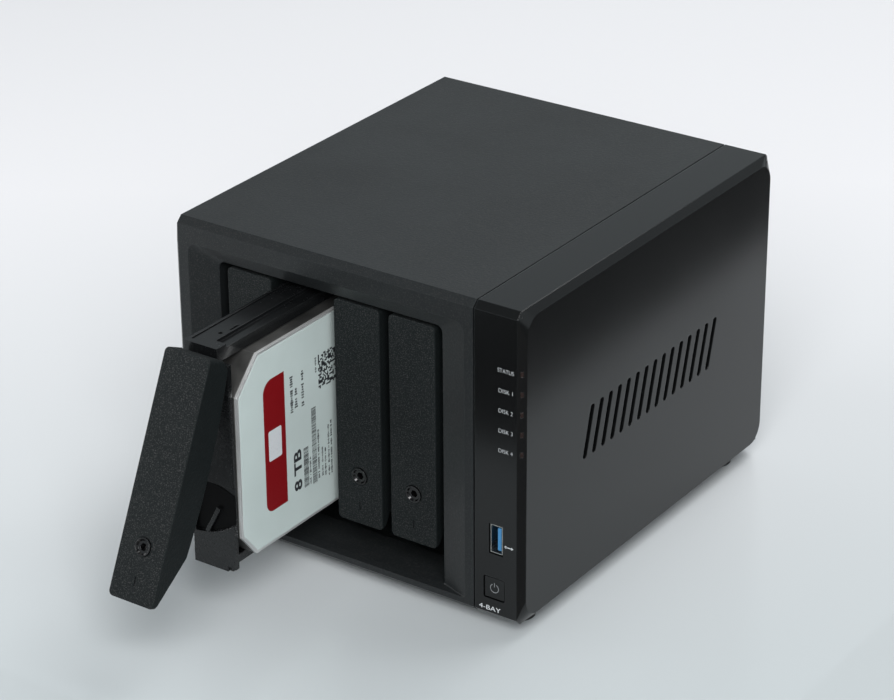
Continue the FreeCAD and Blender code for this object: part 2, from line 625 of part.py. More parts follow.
def tray_frame(number):
    """A U-shaped plastic frame: front, upper rail and lower rail."""
    x0, x1 = tray_x(number)
    rail_x1 = x0 + TRAY_RAIL_W
    front_x1 = x1 - TRAY_FRONT_SIDE
    y0, y1 = TRAY_FRONT_Y, TRAY_FRONT_Y + TRAY_LENGTH
    z0, z1 = TRAY_BOTTOM_Z, TRAY_TOP_Z
    rail_z0 = DRIVE_Z + DRIVE_H + RAIL_CLEAR
    channel_x0, channel_x1 = x0 + PANEL_X[0] - CHANNEL_CLEAR, x0 + PANEL_X[1] + CHANNEL_CLEAR
    front = block(x0, front_x1, y0, y0 + TRAY_FRONT_T, z0, z1)
    front = front.cut(block(rail_x1, x1, y0 - CUT, y0 + 9, rail_z0, z1 + CUT))
    upper = block(x0, rail_x1, y0, y1, rail_z0, z1)
    upper = upper.cut(block(channel_x0, channel_x1, y0 + 3, y1 + CUT, z1 - CHANNEL_DEPTH, z1 + CUT))
    upper = upper.cut(block(channel_x1 + 1, rail_x1 + CUT, y0 + 7, y1 + CUT, z1 - STEP_DEPTH, z1 + CUT))
    upper = upper.cut(block(x0 + 2.5, x0 + 7.5, y0 - CUT, y0 + 1.6, z1 - 4.4, z1 - 1.4))
    lower = block(x0, rail_x1, y0, y1, z0, z0 + TRAY_RAIL_BOTTOM_T)
    lower = lower.cut(block(channel_x0, channel_x1, y0 + 6, y1 + CUT, z0 - CUT, z0 + PANEL_T))
    body = front.fuse(upper).fuse(lower)
    pocket, hook = latch_pocket(number)
    body = body.cut(pocket).fuse(hook)
    # notches in the lower right corner, where the frame's clips let go
    body = body.cut(block(front_x1 - 4.6, front_x1 - 2.6, y0 - CUT, y0 + 1.4, z0 - CUT, z0 + 2.6))
    body = body.cut(block(front_x1 - 2.6, x1, y0 - CUT, y0 + 6, z0 - CUT, z0 + 2))
    body = body.fuse(handle_ear(number))
    return place_tray(body.removeSplitter(), number)


def tray_panels(number):
    """Two clip-on panels that hold the drive in its tray without screws."""
    x0, _ = tray_x(number)
    y0, y1 = TRAY_FRONT_Y + 3.2, TRAY_FRONT_Y + TRAY_LENGTH - 6
    left, right = x0 + PANEL_X[0], x0 + PANEL_X[1]
    z0, z1 = TRAY_BOTTOM_Z, TRAY_TOP_Z
    upper = block(left, right, y0, y1, z1 - PANEL_T - 0.5, z1 - 0.5)
    lower = block(left, right, y0 + 3.2, y1, z0 + 0.2, z0 + PANEL_T - 0.1)
    hole_x = right - 2.6
    for place in PANEL_HOLES:
        y = y0 + place
        upper = upper.cut(rod(PANEL_HOLE_R, (hole_x, y, z1 - 5), (hole_x, y, z1 + CUT)))
        upper = upper.cut(block(hole_x + 1, right + CUT, y + 5, y + 11, z1 - 5, z1 + CUT))
    return place_tray(Part.makeCompound([upper, lower]), number)


def handle_profile():
    """The handle seen from the side: flat face, bowed back and a lower end that tapers to a grip."""
    y, top, bottom = HANDLE_Y, HANDLE_TOP_Z, HANDLE_BOTTOM_Z
    taper_z = bottom + HANDLE_TAPER_H
    tip_z = bottom + HANDLE_TIP_H
    back_top = Vector(0, y + HANDLE_TOP_DEPTH, top - HANDLE_TOP_CUT)
    belly = Vector(0, y + HANDLE_MID_DEPTH, top - HANDLE_H * HANDLE_BELLY)
    low = Vector(0, y + HANDLE_LOW_DEPTH, taper_z)
    points = [low, Vector(0, y + HANDLE_TIP_DEPTH, tip_z), Vector(0, y + HANDLE_TIP_DEPTH, bottom),
              Vector(0, y, bottom), Vector(0, y, top),
              Vector(0, y + HANDLE_TOP_DEPTH - HANDLE_TOP_CUT, top), back_top]
    edges = [Part.makeLine(a, b) for a, b in zip(points, points[1:])]
    edges.append(Part.Arc(back_top, belly, low).toShape())
    return Part.Face(Part.Wire(edges))


def tray_handle(number):
    """Swing handle: a deep shell open at its back, pivoted near its upper end."""
    x0, x1 = tray_x(number)
    y, top, bottom = HANDLE_Y, HANDLE_TOP_Z, HANDLE_BOTTOM_Z
    y_past = y + HANDLE_MID_DEPTH + 10 * CUT
    profile = handle_profile().extrude(Vector(TRAY_W, 0, 0))
    profile.translate(Vector(x0, 0, 0))
    body = profile.common(rounded_plate(x0, x1, y - CUT, y_past, bottom, top, HANDLE_CORNER_R))
    wall = HANDLE_WALL
    shelf_z, grip_z = bottom + HANDLE_TAPER_H + 2, bottom + GRIP_SOLID_H
    shelf_y = y + HANDLE_LOW_DEPTH - wall * 1.1
    inner = [(y + wall, top - wall), (y_past, top - wall), (y_past, shelf_z), (shelf_y, shelf_z),
             (y + wall + 1.2, grip_z), (y + wall, grip_z)]
    body = body.cut(prism([(x0 + wall, iy, iz) for iy, iz in inner], (TRAY_W - 2 * wall, 0, 0)))
    body = body.cut(block(x0 + wall, x1 - wall, y + PIVOT_BEHIND_FACE + 3.2, y_past, top - 5, top + CUT))
    middle = (x0 + x1) / 2
    boss = rod(LOCK_R + LOCK_BOSS_WALL, (middle, y + 0.5, LOCK_Z), (middle, y + LOCK_LENGTH - 0.5, LOCK_Z))
    lock_hole = rod(LOCK_R + LOCK_CLEAR, (middle, y - CUT, LOCK_Z), (middle, y_past, LOCK_Z))
    body = body.fuse(boss).cut(lock_hole)
    mark_w, mark_h, mark_d = LOCK_MARK
    body = body.cut(block(middle - mark_w / 2, middle + mark_w / 2, y - CUT, y + mark_d,
                          LOCK_MARK_Z - mark_h / 2, LOCK_MARK_Z + mark_h / 2))
    pin_hole = rod(
        PIN_R + PIN_CLEAR, (x0 + PIN_SKIN, PIVOT_Y, PIVOT_Z), (x1 - PIN_SKIN, PIVOT_Y, PIVOT_Z)
    )
    body = body.cut(pin_hole)
    front_edges = []
    for e in body.Edges:
        in_face = abs(e.BoundBox.YMin - y) < 0.01 and abs(e.BoundBox.YMax - y) < 0.01
        if in_face and e.Length > 20:
            front_edges.append(e)
    return place_handle(body.makeFillet(HANDLE_EDGE_R, front_edges), number)


def tray_pin(number):
    """Hinge pin of a handle, held in the tray's ear."""
    x0, x1 = tray_x(number)
    end = PIN_SKIN + PIN_END_CLEAR
    return place_tray(rod(PIN_R, (x0 + end, PIVOT_Y, PIVOT_Z), (x1 - end, PIVOT_Y, PIVOT_Z)), number)


def tray_lock(number):
    """Round lock with a hexagonal key socket, a raised rim and a cam behind the handle's face."""
    x0, x1 = tray_x(number)
    middle, y = (x0 + x1) / 2, HANDLE_Y
    barrel = rod(LOCK_R, (middle, y - LOCK_PROUD, LOCK_Z), (middle, y + LOCK_LENGTH, LOCK_Z))
    dish_face = Vector(middle, y - LOCK_PROUD, LOCK_Z)
    dish = Part.makeCone(LOCK_R - LOCK_RIM, LOCK_R - 2 * LOCK_RIM, 1.0, dish_face, Vector(0, 1, 0))
    barrel = barrel.cut(dish)
    hexagon = []
    for corner in range(6):
        turn = math.radians(60 * corner)
        across, rise = LOCK_KEY_R * math.cos(turn), LOCK_KEY_R * math.sin(turn)
        hexagon.append((middle + across, y - CUT, LOCK_Z + rise))
    barrel = barrel.cut(prism(hexagon, (0, LOCK_KEY_DEPTH + CUT, 0)))
    reach, half, thick = LOCK_CAM
    cam_y = y + LOCK_LENGTH
    cam = block(middle - half, middle + reach, cam_y, cam_y + thick, LOCK_Z - half, LOCK_Z + half)
    return place_handle(barrel.fuse(cam), number)


# ---------------------------------------------------------------- drives
def drive_outline(x0, x1, inset, corner):
    """A plate in the drive's plane with both front corners cut off."""
    y0, y1 = DRIVE_Y + inset, DRIVE_Y + DRIVE_L - inset
    z0, z1 = DRIVE_Z + inset, DRIVE_Z + DRIVE_H - inset
    points = [(x0, y0, z0 + corner * 0.75), (x0, y0 + corner * 0.62, z0), (x0, y1, z0), (x0, y1, z1),
              (x0, y0 + corner * 0.95, z1), (x0, y0, z1 - corner)]
    return prism(points, (x1 - x0, 0, 0))


def drive_right(number):
    """Outer face of a drive's lid."""
    return tray_x(number)[1] + DRIVE_PROUD


def drive_base(number):
    """Cast drive body: a full-width lower deck, and an upper deck with cut corners."""
    right = drive_right(number)
    left = right - DRIVE_T
    deck = left + DRIVE_DECK_T
    end_y = DRIVE_Y + DRIVE_L
    lower = block(left, deck, DRIVE_Y, end_y, DRIVE_Z, DRIVE_Z + DRIVE_H)
    corners = [e for e in lower.Edges if e.BoundBox.XLength > DRIVE_DECK_T - 1]
    lower = lower.makeFillet(DRIVE_CORNER_R, corners)
    upper = drive_outline(deck - 0.01, right - LID_T, 0.3, LID_CORNER)
    body = lower.fuse(upper)
    body = body.cut(block(left - CUT, left + DRIVE_DECK_T - 2, end_y - PLUG_DEPTH - 0.5, end_y + CUT,
                          PLUG_Z - 2, PLUG_Z + PLUG_L + 2))
    for place in DRIVE_SCREW_Y:
        y = DRIVE_Y + place
        for z, way in ((DRIVE_Z, 1), (DRIVE_Z + DRIVE_H, -1)):
            hole_x = left + DRIVE_SCREW_X
            body = body.cut(rod(DRIVE_SCREW_R, (hole_x, y, z - way), (hole_x, y, z + way * 4)))
    return place_tray(body, number)


def drive_lid(number):
    """Steel lid over the upper deck."""
    right = drive_right(number)
    return place_tray(drive_outline(right - LID_T, right - LABEL_T, LID_INSET, LID_CORNER), number)


def drive_label(number):
    """Printed label on the lid."""
    right = drive_right(number)
    return place_tray(drive_outline(right - LABEL_T, right, LABEL_INSET, LABEL_CORNER), number)


# ---------------------------------------------------------------- back
def fan_holes(x):
    """Screw places of the fan at x."""
    half = FAN_HOLE_PITCH / 2
    return [(x + sx * half, FAN_Z + sz * half) for sx in (-1, 1) for sz in (-1, 1)]


def rear_panel():
    """Sheet steel back with two fan grilles and the port openings."""
    x = CASE_W / 2 - WALL - PANEL_CLEAR
    y0, y1 = PANEL_Y - CUT, PANEL_BACK_Y + CUT
    panel = block(-x, x, PANEL_Y, PANEL_BACK_Y, FLOOR_Z + PANEL_CLEAR, CEILING_Z - PANEL_CLEAR)
    for fan_x in (-FAN_X, FAN_X):
        opening = rod(GRILLE_R, (fan_x, y0, FAN_Z), (fan_x, y1, FAN_Z))
        for ring in GRILLE_RINGS:
            keep = rod(ring, (fan_x, y0, FAN_Z), (fan_x, y1, FAN_Z))
            keep = keep.cut(rod(ring - GRILLE_RING_W, (fan_x, y0 - CUT, FAN_Z), (fan_x, y1 + CUT, FAN_Z)))
            opening = opening.cut(keep)
        opening = opening.cut(rod(GRILLE_HUB_R, (fan_x, y0, FAN_Z), (fan_x, y1, FAN_Z)))
        for turn in range(4):
            reach, half = GRILLE_R + 2, GRILLE_SPOKE_W / 2
            spoke = block(-reach, reach, y0 - CUT, y1 + CUT, -half, half)
            spoke.rotate(Vector(0, 0, 0), Vector(0, 1, 0), 45 * turn + 22.5)
            spoke.translate(Vector(fan_x, 0, FAN_Z))
            opening = opening.cut(spoke)
        panel = panel.cut(opening)
        for hx, hz in fan_holes(fan_x):
            panel = panel.cut(rod(FAN_SCREW_R + SCREW_CLEAR, (hx, y0, hz), (hx, y1, hz)))
    for left, right, bottom, top in PORTS.values():
        panel = panel.cut(block(left - PORT_CLEAR, right + PORT_CLEAR, y0, y1,
                                bottom - PORT_CLEAR, top + PORT_CLEAR))
    panel = panel.cut(rod(RESET_HOLE_R, (RESET_X, y0, RESET_Z), (RESET_X, y1, RESET_Z)))
    slot_in, slot_z, slot_w, slot_l = LOCK_SLOT
    slot_x = LEFT + slot_in
    panel = panel.cut(block(slot_x - slot_w / 2, slot_x + slot_w / 2, y0, y1,
                            slot_z - slot_l / 2, slot_z + slot_l / 2))
    for screw_x in (-PANEL_SCREW_X, PANEL_SCREW_X):
        for z in PANEL_SCREW_Z:
            panel = panel.cut(rod(SCREW_R + SCREW_CLEAR, (screw_x, y0, z), (screw_x, y1, z)))
    return panel


def fan_frame(x):
    """Square fan frame with its motor seat on four struts at the back."""
    half = FAN_SIZE / 2
    y0, y1 = FAN_Y - CUT, PANEL_Y + CUT
    lip = 4.0  # thickness of each end flange
    frame = block(x - half, x + half, FAN_Y, PANEL_Y, FAN_Z - half, FAN_Z + half)
    frame = frame.makeFillet(5.0, [e for e in frame.Edges if e.BoundBox.YLength > FAN_T - 1])
    frame = frame.cut(rod(FAN_BORE_R, (x, y0, FAN_Z), (x, y1, FAN_Z)))
    past = half + CUT
    waist = block(x - past, x + past, FAN_Y + lip, PANEL_Y - lip, FAN_Z - past, FAN_Z + past)
    frame = frame.cut(waist.cut(rod(half - 0.6, (x, y0, FAN_Z), (x, y1, FAN_Z))))
    strut_y1 = PANEL_Y - 0.2
    seat = rod(FAN_SEAT_R, (x, FAN_SEAT_Y, FAN_Z), (x, strut_y1, FAN_Z))
    for turn in range(4):
        strut = block(FAN_SEAT_R - 4, FAN_BORE_R + 1.5, FAN_SEAT_Y, strut_y1, -1.8, 1.8)
        strut.rotate(Vector(0, 0, 0), Vector(0, 1, 0), 90 * turn + 30)
        strut.translate(Vector(x, 0, FAN_Z))
        seat = seat.fuse(strut)
    seat = seat.cut(rod(FAN_SHAFT_R + 0.05, (x, FAN_SEAT_Y - CUT, FAN_Z), (x, FAN_SEAT_Y + 2.6, FAN_Z)))
    frame = frame.fuse(seat)
    for hx, hz in fan_holes(x):
        frame = frame.cut(rod(FAN_SCREW_R, (hx, y0, hz), (hx, y1, hz)))
    return frame


def fan_rotor(x):
    """Hub with a ring of pitched blades and its shaft."""
    hub_y0, hub_y1 = FAN_Y + 1.2, FAN_SEAT_Y - 0.5
    hub = rod(FAN_HUB_R, (x, hub_y0, FAN_Z), (x, hub_y1, FAN_Z))
    hub = hub.makeFillet(1.5, [e for e in hub.Edges if e.BoundBox.YMax < hub_y0 + 0.01])
    rotor = hub.fuse(rod(FAN_SHAFT_R, (x, hub_y1 - 1, FAN_Z), (x, FAN_SEAT_Y + 2.4, FAN_Z)))
    reach = rod(FAN_BLADE_R, (x, hub_y0 + 0.6, FAN_Z), (x, hub_y1 - 0.4, FAN_Z))
    middle = (hub_y0 + hub_y1) / 2
    half_chord, half_t = 13.5, 0.8
    for number in range(FAN_BLADES):
        blade = block(-half_chord, half_chord, -half_t, half_t, FAN_HUB_R - 3, FAN_BORE_R + 3)
        blade.rotate(Vector(0, 0, 0), Vector(0, 0, 1), FAN_PITCH)
        blade.translate(Vector(0, middle, 0))
        blade.rotate(Vector(0, 0, 0), Vector(0, 1, 0), 360.0 / FAN_BLADES * number)
        blade.translate(Vector(x, 0, FAN_Z))
        rotor = rotor.fuse(blade.common(reach))
    return rotor


def socket(name, depth, cavity_inset, cavity_depth, proud):
    """A port body behind its opening in the rear panel, with an open front."""
    left, right, bottom, top = PORTS[name]
    y1 = PANEL_BACK_Y + proud
    body = block(left, right, y1 - depth, y1, bottom, top)
    i = cavity_inset
    return body.cut(block(left + i, right - i, y1 - cavity_depth, y1 + 1, bottom + i, top - i))


def lan_ports():
    """Two network sockets with their contact combs."""
    made = []
    for name in ("lan_1", "lan_2"):
        left, right, bottom, top = PORTS[name]
        y1 = PANEL_BACK_Y + 0.4
        body = block(left, right, y1 - 18, y1, bottom, top)
        body = body.cut(block(left + 2.1, right - 2.1, y1 - 14, y1 + 1, bottom + 3.6, top - 1.6))
        body = body.cut(block(left + 4.6, right - 4.6, y1 - 14, y1 + 1, bottom + 1.0, top - 1.6))
        made.append(body)
    return Part.makeCompound(made)


def plug_tongue(name, body, inset, thick):
    """Adds the contact tongue inside a flat socket."""
    left, right, bottom, top = PORTS[name]
    y1 = PANEL_BACK_Y
    under = (bottom + top) / 2 + 0.2
    return body.fuse(block(left + inset, right - inset, y1 - 12.5, y1 - 0.6, under, under + thick))


def rear_usb_port():
    """Flat blue-tongued socket on the back."""
    return plug_tongue("rear_usb_port", socket("rear_usb_port", 14, 0.5, 12, 0.3), 1.6, 1.9)


def esata_port():
    """Small socket for an outside drive box."""
    return plug_tongue("esata_port", socket("esata_port", 14, 0.9, 10, 0.1), 3.0, 1.2)


def power_jack():
    """Round low-voltage inlet with its centre pin."""
    left, right, bottom, top = PORTS["power_jack"]
    x, z, y1 = (left + right) / 2, (bottom + top) / 2, PANEL_BACK_Y + 0.3
    body = block(left, right, y1 - 14, y1, bottom, top)
    body = body.cut(rod(4.2, (x, y1 - 10, z), (x, y1 + 1, z)))
    return body.fuse(rod(1.2, (x, y1 - 11, z), (x, y1 - 1.2, z)))


def tact_switches():
    """The switches behind the power button and inside the reset hole."""
    power = block(BUTTON_X - 3, BUTTON_X + 3, SWITCH_Y, FRONT_BOARD_Y, BUTTON_Z - 3, BUTTON_Z + 3)
    y0, y1 = RESET_BODY_Y
    reset = block(RESET_X - 3, RESET_X + 3, y0, y1, MAIN_BOARD_TOP, RESET_Z + 3)
    reset = reset.cut(rod(RESET_R + 0.05, (RESET_X, y1 - 4.0, RESET_Z), (RESET_X, y1 + 1, RESET_Z)))
    return Part.makeCompound([power, reset])


def reset_button():
    """Small plunger reached through the hole with a pin."""
    y1 = RESET_BODY_Y[1]
    return rod(RESET_R, (RESET_X, y1 - 2.8, RESET_Z), (RESET_X, y1 + 1.6, RESET_Z))


def power_button():
    """Square cap with a flange behind the strip and a stem towards its switch."""
    half = BUTTON_W / 2 - BUTTON_GAP
    y0, wall_y = FRONT + 0.35, FRONT + WALL
    cap = rounded_plate(
        BUTTON_X - half, BUTTON_X + half, y0, wall_y + 1.6, BUTTON_Z - half, BUTTON_Z + half, 0.8
    )
    rim = [e for e in cap.Edges if e.BoundBox.YMax < y0 + 0.01]
    cap = cap.makeFillet(0.35, rim)
    edge = BUTTON_W / 2 + 0.8
    flange = block(BUTTON_X - edge, BUTTON_X + edge, wall_y + 0.35, wall_y + 0.35 + BUTTON_FLANGE,
                   BUTTON_Z - edge, BUTTON_Z + edge)
    stem_end_y = SWITCH_Y - BUTTON_TRAVEL - 0.1
    stem = rod(BUTTON_STEM_R, (BUTTON_X, wall_y + 1, BUTTON_Z), (BUTTON_X, stem_end_y, BUTTON_Z))
    return cap.fuse(flange).fuse(stem)


# ---------------------------------------------------------------- control strip
def front_board():
    """Upright board behind the control strip."""
    return block(SEAM_X + 5.5, RIGHT - WALL - 1.5, FRONT_BOARD_Y, FRONT_BOARD_Y + BOARD_T,
                 FLOOR_Z + 4, CEILING_Z - 12)


def front_usb_shield():
    """Folded steel sleeve of the upright front port."""
    t = USB_SHEET_T
    x0, x1 = USB_X - USB_W / 2, USB_X + USB_W / 2
    z0, z1 = USB_Z - USB_H / 2, USB_Z + USB_H / 2
    y0 = FRONT + 0.5
    sleeve = block(x0, x1, y0, FRONT_BOARD_Y, z0, z1)
    return sleeve.cut(block(x0 + t, x1 - t, y0 - 1, FRONT_BOARD_Y - 1, z0 + t, z1 - t))


def front_usb_tongue():
    """Contact tongue of the front port, towards its right side."""
    x1 = USB_X + USB_W / 2 - 1.1
    half = USB_H / 2 - 1.6
    return block(x1 - USB_TONGUE_T, x1, FRONT + 1.1, FRONT_BOARD_Y - 1, USB_Z - half, USB_Z + half)


def light_pipes():
    """Five clear bars that end flush in the bevel."""
    return Part.makeCompound([light_form(z, 0, LIGHT_L) for z in light_places()])


# ---------------------------------------------------------------- boards
def main_board():
    """Board along the base, with a bay for the backplane's plug."""
    x0, x1, y0, y1 = MAIN_BOARD
    board = block(x0, x1, y0, y1, MAIN_BOARD_Z, MAIN_BOARD_TOP)
    for x, y in MAIN_BOARD_POSTS:
        board = board.cut(rod(SCREW_R + 0.1, (x, y, MAIN_BOARD_Z - CUT), (x, y, MAIN_BOARD_TOP + CUT)))
    return board


def backplane_board():
    """Upright board behind the drives, with air openings between the sockets."""
    x0, x1 = CAGE_LEFT, SEAM_X - 4.0
    board = block(x0, x1, BACKPLANE_Y, BACKPLANE_Y + BOARD_T, MAIN_BOARD_TOP, CAGE_TOP_Z)
    for number in range(1, BAYS + 1):
        left, right = tray_x(number)
        y0, y1 = BACKPLANE_Y - CUT, BACKPLANE_Y + BOARD_T + CUT
        board = board.cut(block(left + 1, right + 1, y0, y1, PLUG_Z + PLUG_L + 6, CAGE_TOP_Z - 8))
        board = board.cut(block(left + 12, right + 1, y0, y1, PLUG_Z - 4, PLUG_Z + PLUG_L))
    return board


def drive_sockets():
    """Four combined data and power sockets on the backplane."""
    made = []
    for number in range(1, BAYS + 1):
        left = drive_right(number) - DRIVE_T
        x0, y0 = left + 1.2, BACKPLANE_Y - PLUG_DEPTH
        body = block(x0, x0 + PLUG_T, y0, BACKPLANE_Y, PLUG_Z, PLUG_Z + PLUG_L)
        slot = block(x0 + 1.4, x0 + 2.8, y0 - CUT, BACKPLANE_Y - 2, PLUG_Z + 2, PLUG_Z + PLUG_L - 2)
        made.append(body.cut(slot))
    return Part.makeCompound(made)


def heat_sink():
    """Finned processor cooler in the fans' air stream."""
    x0, x1 = SINK_X
    y0, y1 = BACKPLANE_Y + 6.0, FAN_Y + 8.0
    z0 = MAIN_BOARD_TOP
    z1 = FAN_Z - FAN_SIZE / 2 - 6.0
    sink = block(x0, x1, y0, y1, z0, z0 + 5)
    pitch = (x1 - x0 - SINK_FIN_T) / (SINK_FINS - 1)
    for number in range(SINK_FINS):
        x = x0 + number * pitch
        sink = sink.fuse(block(x, x + SINK_FIN_T, y0, y1, z0 + 4, z1))
    return sink


def memory_sockets():
    """Two stacked memory sockets beside the cage."""
    made = []
    for level in range(MEMORY_LEVELS):
        z = MAIN_BOARD_TOP + level * MEMORY_RISE
        x0, (y0, y1) = MEMORY_X[0], MEMORY_Y
        made.append(block(x0, x0 + 5.0, y0, y1, z, z + MEMORY_RISE - 0.5))
    return Part.makeCompound(made)


def memory_modules():
    """Two memory modules lying in their sockets' planes."""
    made = []
    for level in range(MEMORY_LEVELS):
        z = MAIN_BOARD_TOP + level * MEMORY_RISE + 3.0
        x0, x1 = MEMORY_X[0] + 5.0, MEMORY_X[1]
        card = block(x0, x1, MEMORY_Y[0] + 1.2, MEMORY_Y[1] - 1.2, z, z + 1.2)
        for chip in range(4):
            y = MEMORY_Y[0] + 6 + chip * 16
            card = card.fuse(block(x0 + 4, x0 + 13, y, y + 11, z + 1.1, z + 2.2))
        made.append(card)
    return Part.makeCompound(made)


# ---------------------------------------------------------------- fasteners
def fan_screws():
    """Eight self-tapping screws through the rear panel into the fan frames."""
    return Part.makeCompound([pan_screw(FAN_SCREW_R, 9.0, (x, PANEL_BACK_Y, z), (0, 1, 0))
                              for fan_x in (-FAN_X, FAN_X) for x, z in fan_holes(fan_x)])


def rear_screws():
    """Four screws that hold the rear panel to the covers' posts."""
    return Part.makeCompound([pan_screw(SCREW_R, 7.0, (side * PANEL_SCREW_X, PANEL_BACK_Y, z), (0, 1, 0))
                              for side in (-1, 1) for z in PANEL_SCREW_Z])


def build():
    """Every node's name and shape."""
    drive_top_z = DRIVE_Z + DRIVE_H
    side_window = (CAGE_Y + 30, BACKPLANE_Y - 25, DRIVE_Z + 18, drive_top_z - 7.6)
    card_window = (CAGE_Y + 24, BACKPLANE_Y - 30, DRIVE_Z + 26, drive_top_z - 25.6)
    nodes = {
        "main_cover": main_cover(),
        "side_cover": side_cover(),
        "rear_panel": rear_panel(),
        "cage_left_wall": cage_wall(CAGE_LEFT - CAGE_WALL_T, FLOOR_Z, side_window),
        "cage_right_wall": cage_wall(CAGE_RIGHT, MAIN_BOARD_TOP, card_window),
        "upper_guide": upper_guide(),
        "lower_guide": lower_guide(),
        "backplane_board": backplane_board(),
        "drive_sockets": drive_sockets(),
        "main_board": main_board(),
        "heat_sink": heat_sink(),
        "memory_sockets": memory_sockets(),
        "memory_modules": memory_modules(),
        "lan_ports": lan_ports(),
        "rear_usb_port": rear_usb_port(),
        "esata_port": esata_port(),
        "power_jack": power_jack(),
        "front_board": front_board(),
        "front_usb_shield": front_usb_shield(),
        "front_usb_tongue": front_usb_tongue(),
        "light_pipes": light_pipes(),
        "tact_switches": tact_switches(),
        "fan_frames": Part.makeCompound([fan_frame(-FAN_X), fan_frame(FAN_X)]),
        "fan_rotor_left": fan_rotor(-FAN_X),
        "fan_rotor_right": fan_rotor(FAN_X),
        "feet": feet(),
        "slot_doors": slot_doors(),
        "power_button": power_button(),
        "reset_button": reset_button(),
        "fan_screws": fan_screws(),
        "rear_screws": rear_screws(),
        f"drive_{OPEN_TRAY}_label": drive_label(OPEN_TRAY),
    }
    for number in range(1, BAYS + 1):
        nodes[f"tray_{number}_frame"] = tray_frame(number)
        nodes[f"tray_{number}_panels"] = tray_panels(number)
        nodes[f"tray_{number}_handle"] = tray_handle(number)
        nodes[f"tray_{number}_pin"] = tray_pin(number)
        nodes[f"tray_{number}_lock"] = tray_lock(number)
        nodes[f"drive_{number}_base"] = drive_base(number)
        nodes[f"drive_{number}_lid"] = drive_lid(number)
    return nodes


def main():
    """Writes every node to its own file."""
    os.makedirs("parts", exist_ok=True)
    for name, shape in build().items():
        shape.exportStep(os.path.join("parts", f"{name}.step"))


main()
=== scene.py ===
"""Looks, light and camera of a desktop network storage box with four pull-out drive trays.

Metres, +Z up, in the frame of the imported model. Places are read from the model's own parts.
"""

import sys

import json
import logging
import math
import random
from dataclasses import dataclass
from enum import Enum
from typing import Iterable, Optional, Sequence, Union

import bmesh
import bpy
from mathutils import Matrix, Vector


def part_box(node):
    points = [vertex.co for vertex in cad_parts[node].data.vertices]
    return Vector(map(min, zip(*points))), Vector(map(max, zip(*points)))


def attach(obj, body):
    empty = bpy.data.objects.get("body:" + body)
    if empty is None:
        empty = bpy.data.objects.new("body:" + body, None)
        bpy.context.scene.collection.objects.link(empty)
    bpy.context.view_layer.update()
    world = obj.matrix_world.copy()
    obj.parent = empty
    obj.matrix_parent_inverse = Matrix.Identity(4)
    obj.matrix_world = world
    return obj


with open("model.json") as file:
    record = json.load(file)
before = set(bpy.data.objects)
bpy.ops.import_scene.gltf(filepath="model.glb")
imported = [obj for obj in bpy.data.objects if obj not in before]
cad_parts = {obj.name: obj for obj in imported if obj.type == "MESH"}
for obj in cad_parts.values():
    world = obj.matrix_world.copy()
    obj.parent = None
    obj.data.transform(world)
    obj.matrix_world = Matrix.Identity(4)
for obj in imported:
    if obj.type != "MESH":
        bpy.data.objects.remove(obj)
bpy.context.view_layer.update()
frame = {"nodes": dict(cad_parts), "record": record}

LOG = logging.getLogger("storage_box")
MM = 0.001
Socket = bpy.types.NodeSocket
Material = bpy.types.Material
Mesh = bpy.types.Mesh
Colour = tuple[float, float, float]
Point = tuple[float, float]
Patch = tuple[float, float, float, float]
Value = Union[Socket, float, int, bool, Sequence[float], None]


# ---------------------------------------------------------------- node trees
class Graph:
    """Adds and joins nodes in one shader or geometry tree."""

    def __init__(self, tree: bpy.types.NodeTree) -> None:
        """Keeps the tree that nodes are added to."""
        self.tree = tree

    def add(self, kind: str, inputs: Optional[dict] = None, **settings: object) -> bpy.types.Node:
        """Adds a node.

        Args:
            kind: the node's type name.
            inputs: value or source socket for each named input.
            settings: the node's own properties.

        Returns:
            The new node.
        """
        node = self.tree.nodes.new(kind)
        for name, value in settings.items():
            setattr(node, name, value)
        for name, value in (inputs or {}).items():
            self.feed(self.socket(node.inputs, name), value)
        return node

    def feed(self, socket: Socket, value: Value) -> None:
        """Sets a socket's value, or links another socket to it."""
        if isinstance(value, Socket):
            self.tree.links.new(value, socket)
        else:
            socket.default_value = value

    @staticmethod
    def socket(sockets: Iterable[Socket], name: Union[str, int]) -> Socket:
        """The socket in use with that name, or at that place."""
        if isinstance(name, int):
            return sockets[name]
        return next(s for s in sockets if s.name == name and s.enabled)


